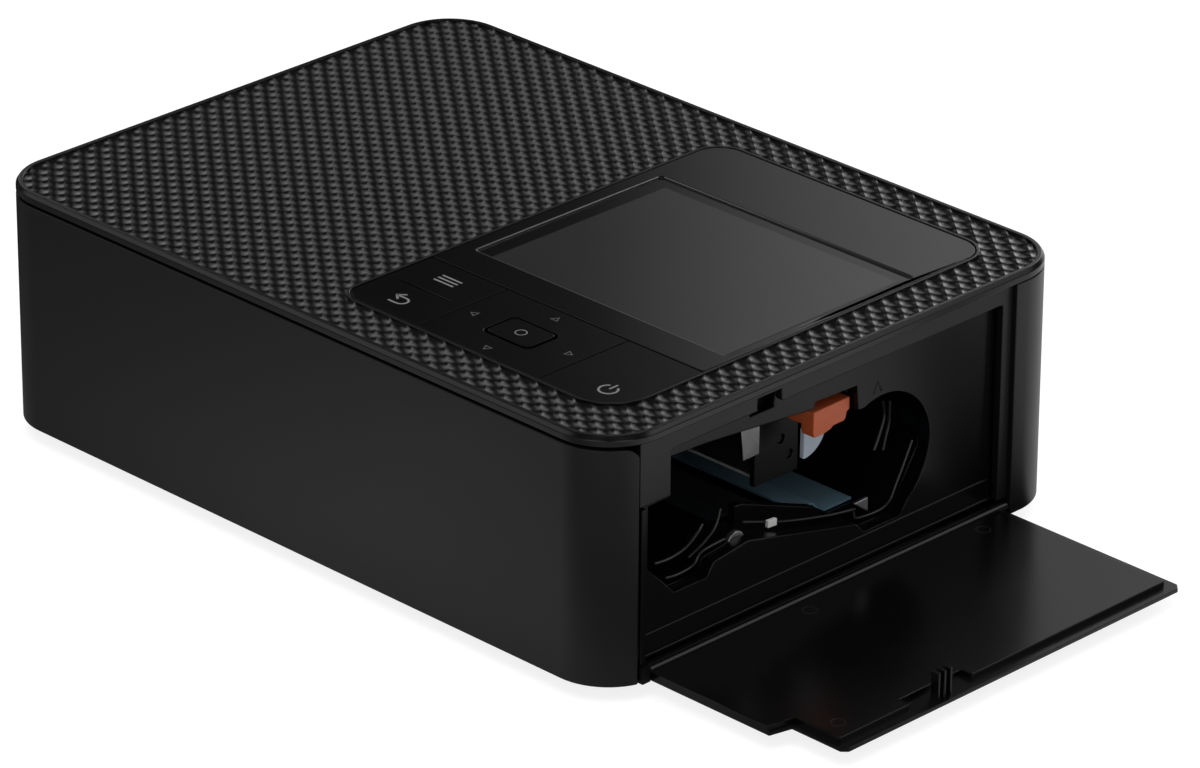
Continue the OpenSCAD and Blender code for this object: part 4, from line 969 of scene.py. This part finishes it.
def floor_material():
    """White to the camera with the shadow kept; in gloss, a grey glow with painted light and
    shade.

    Each grey below is a list of places in metres along an axis and greys there.
    """
    mat = bpy.data.materials.new("floor_white")
    nodes = Nodes(mat, "ShaderNodeOutputMaterial")
    glow = nodes.add("ShaderNodeEmission", Color=(0.84, 0.84, 0.84, 1), Strength=1.0)
    lit = nodes.add("ShaderNodeBsdfDiffuse", Color=(0.26, 0.26, 0.26, 1))
    shown = nodes.add("ShaderNodeAddShader")
    nodes.link(glow.outputs[0], shown.inputs[0])
    nodes.link(lit.outputs[0], shown.inputs[1])
    # painted light and shade in the gloss glow: darker to the left, darker in a strip towards
    # the camera, and only in front of the object
    grey = nodes.along(RIGHT, ((-0.22, 0.13), (-0.13, 0.24), (-0.03, 0.55), (0.1, 0.55)))
    near = nodes.along(
        -AWAY, ((0.06, 1.0), (0.095, 0.9), (0.125, 0.25), (0.185, 0.3), (0.205, 0.9))
    )
    front = nodes.along(BACK, ((-0.09, 1.0), (-0.02, 0.0)))
    # a painted pool of light to the right, with a strip of painted shade across it for the
    # dark part of the bay frame beside the pillar
    painted_light_pool = nodes.along(ACROSS, ((0.03, 0.0), (0.075, 0.5), (0.11, 0.8), (0.2, 0.85)))
    painted_shade_strip = nodes.along(
        AWAY, ((-0.04, 1.0), (-0.028, 0.95), (-0.02, 0.0), (-0.0045, 0.0), (-0.0015, 1.0))
    )
    side = nodes.combine("MULTIPLY", painted_light_pool, painted_shade_strip)
    fore = nodes.combine("MULTIPLY", nodes.combine("MULTIPLY", grey, near), front)
    mirrored = nodes.add("ShaderNodeEmission", Strength=1.0)
    nodes.link(nodes.combine("LIGHTEN", fore, side), mirrored.inputs["Color"])
    plain = nodes.add("ShaderNodeBsdfDiffuse", Color=(0.6, 0.6, 0.6, 1))
    nodes.by_ray(shown.outputs[0], mirrored.outputs[0], plain.outputs[0])
    return mat


def lay_floor():
    mesh = bpy.data.meshes.new("floor")
    signs = ((-1, -1), (1, -1), (1, 1), (-1, 1))
    corners = [(x * FLOOR_HALF, y * FLOOR_HALF, 0) for x, y in signs]
    mesh.from_pydata(corners, [], [(0, 1, 2, 3)])
    mesh.materials.append(floor_material())
    add_object("floor", mesh)


def studio_world():
    """White to the camera; in gloss a pale horizon under a dark ceiling; else a plain fill."""
    world = bpy.data.worlds.new("studio")
    scene.world = world
    nodes = Nodes(world, "ShaderNodeOutputWorld")
    white = nodes.add("ShaderNodeBackground", Color=(1, 1, 1, 1))
    fill = nodes.add("ShaderNodeBackground", Color=(1, 1, 1, 1), Strength=0.55)
    gloss = nodes.add("ShaderNodeBackground")
    height = nodes.add("ShaderNodeSeparateXYZ")
    nodes.link(nodes.add("ShaderNodeTexCoord").outputs["Generated"], height.inputs[0])
    ceiling = ((0.0, 0.3), (0.03, 0.12), (0.08, 0.02), (1.0, 0.01))
    nodes.link(nodes.ramp(height.outputs[2], ceiling), gloss.inputs["Color"])
    nodes.by_ray(white.outputs[0], gloss.outputs[0], fill.outputs[0])


lay_floor()
studio_world()


# ---------------------------------------------------------------- lamps and cards
def softbox(name, place, aim, size, power, gloss=False):
    """An area lamp, seen by gloss alone or by everything but gloss."""
    lamp = bpy.data.lights.new(name, "AREA")
    lamp.shape = "RECTANGLE"
    lamp.size, lamp.size_y = size
    lamp.energy = power
    ob = add_object(name, lamp)
    place = Vector(place)
    z = (place - Vector(aim)).normalized()
    x = UP.cross(z).normalized()
    stand(ob, place, x, z.cross(x), z)
    ob.visible_camera = False
    ob.visible_glossy = gloss
    ob.visible_diffuse = not gloss


def reflector(name, distance, strength, tall, wide, turned=False):
    """An upright card that only gloss sees; its edges fade, so no hard frame shows.

    It stands behind the object as the camera sees it, or to its right where it is turned.
    tall and wide are places in metres up and along it and the light there; the card ends
    at the first and last of them.
    """
    out, run = (ACROSS, AWAY) if turned else (AWAY, ACROSS)
    mat = bpy.data.materials.new(name)
    nodes = Nodes(mat, "ShaderNodeOutputMaterial")
    side, rise = nodes.along(run, wide), nodes.along(UP, tall)
    glow = nodes.add("ShaderNodeEmission", Strength=strength)
    nodes.link(nodes.combine("MULTIPLY", side, rise), glow.inputs["Color"])
    nodes.link(glow.outputs[0], nodes.surface)
    left, right, low, high = wide[0][0], wide[-1][0], tall[0][0], tall[-1][0]
    corners = ((left, low), (right, low), (right, high), (left, high))
    mesh = bpy.data.meshes.new(name)
    mesh.from_pydata(
        [out * distance + run * a + UP * z for a, z in corners], [], [(0, 1, 2, 3)]
    )
    mesh.materials.append(mat)
    ob = add_object(name, mesh)
    ob.visible_camera = False
    ob.visible_diffuse = False
    ob.visible_shadow = False


softbox("top", place=(0.25, -0.35, 1.5), aim=(0, 0, 0), size=(1.3, 1.3), power=13)
softbox("key_back", place=(-0.35, 1.3, 0.8), aim=(0, 0, 0.03), size=(1.4, 0.8), power=9)
softbox(
    "top_gloss", place=(0.02, -0.02, 1.5), aim=(0, 0, 0), size=(0.5, 0.5), power=0.5,
    gloss=True,
)

# the broad cards behind, which the lid and the panel mirror
reflector(
    "card_right", distance=1.2, strength=3.8,
    tall=((0.1, 0.0), (0.2, 0.9), (0.9, 1.0), (1.15, 0.0), (1.2, 0.0)),
    wide=(
        (-0.1, 0.0), (0.0, 0.012), (0.07, 0.11), (0.14, 0.19), (0.26, 0.13),
        (0.34, 0.3), (0.43, 1.0), (1.05, 0.0), (1.1, 0.0),
    ),
)
reflector(
    "card_left", distance=1.2, strength=1.3,
    tall=((0.13, 0.0), (0.14, 0.0), (0.26, 0.9), (0.9, 1.0), (1.15, 0.0), (1.2, 0.0)),
    wide=(
        (-0.75, 0.0), (-0.72, 0.0), (-0.5, 1.0), (-0.4, 0.95), (-0.32, 0.6),
        (-0.22, 0.2), (-0.13, 0.0), (-0.1, 0.0),
    ),
)
# small high cards, for the bright lines on the panel's bevels
for name, middle, strength in (("card_line_right", 0.41, 5.0), ("card_line_left", -0.37, 3.0)):
    reflector(
        name, distance=1.2, strength=strength,
        tall=((1.2, 0.0), (1.25, 1.0), (1.37, 1.0), (1.42, 0.0)),
        wide=[
            (middle + a, light)
            for a, light in ((-0.09, 0.0), (-0.05, 1.0), (0.05, 1.0), (0.09, 0.0))
        ],
    )
# cards in front and at the sides, for the views from the other sides
for name, start, end in (("card_front_left", -0.95, -0.12), ("card_front_right", 0.12, 0.95)):
    reflector(
        name, distance=-1.2, strength=1.6,
        tall=((0.1, 0.0), (0.22, 0.9), (0.7, 1.0), (1.0, 0.0)),
        wide=((start, 0.0), (start + 0.2, 0.9), (end - 0.2, 0.9), (end, 0.0)),
    )
reflector(
    "card_far_side", distance=-1.1, strength=1.0,
    tall=((0.15, 0.0), (0.35, 1.0), (0.8, 1.0), (1.1, 0.0)),
    wide=((-0.6, 0.0), (-0.35, 0.8), (0.35, 0.8), (0.6, 0.0)),
    turned=True,
)
reflector(
    "card_side", distance=1.1, strength=1.6,
    tall=((0.35, 0.0), (0.4, 0.0), (0.6, 1.0), (1.1, 1.0), (1.3, 0.0), (1.35, 0.0)),
    wide=((-0.5, 0.0), (-0.3, 0.8), (0.3, 1.0), (0.5, 0.0)),
    turned=True,
)
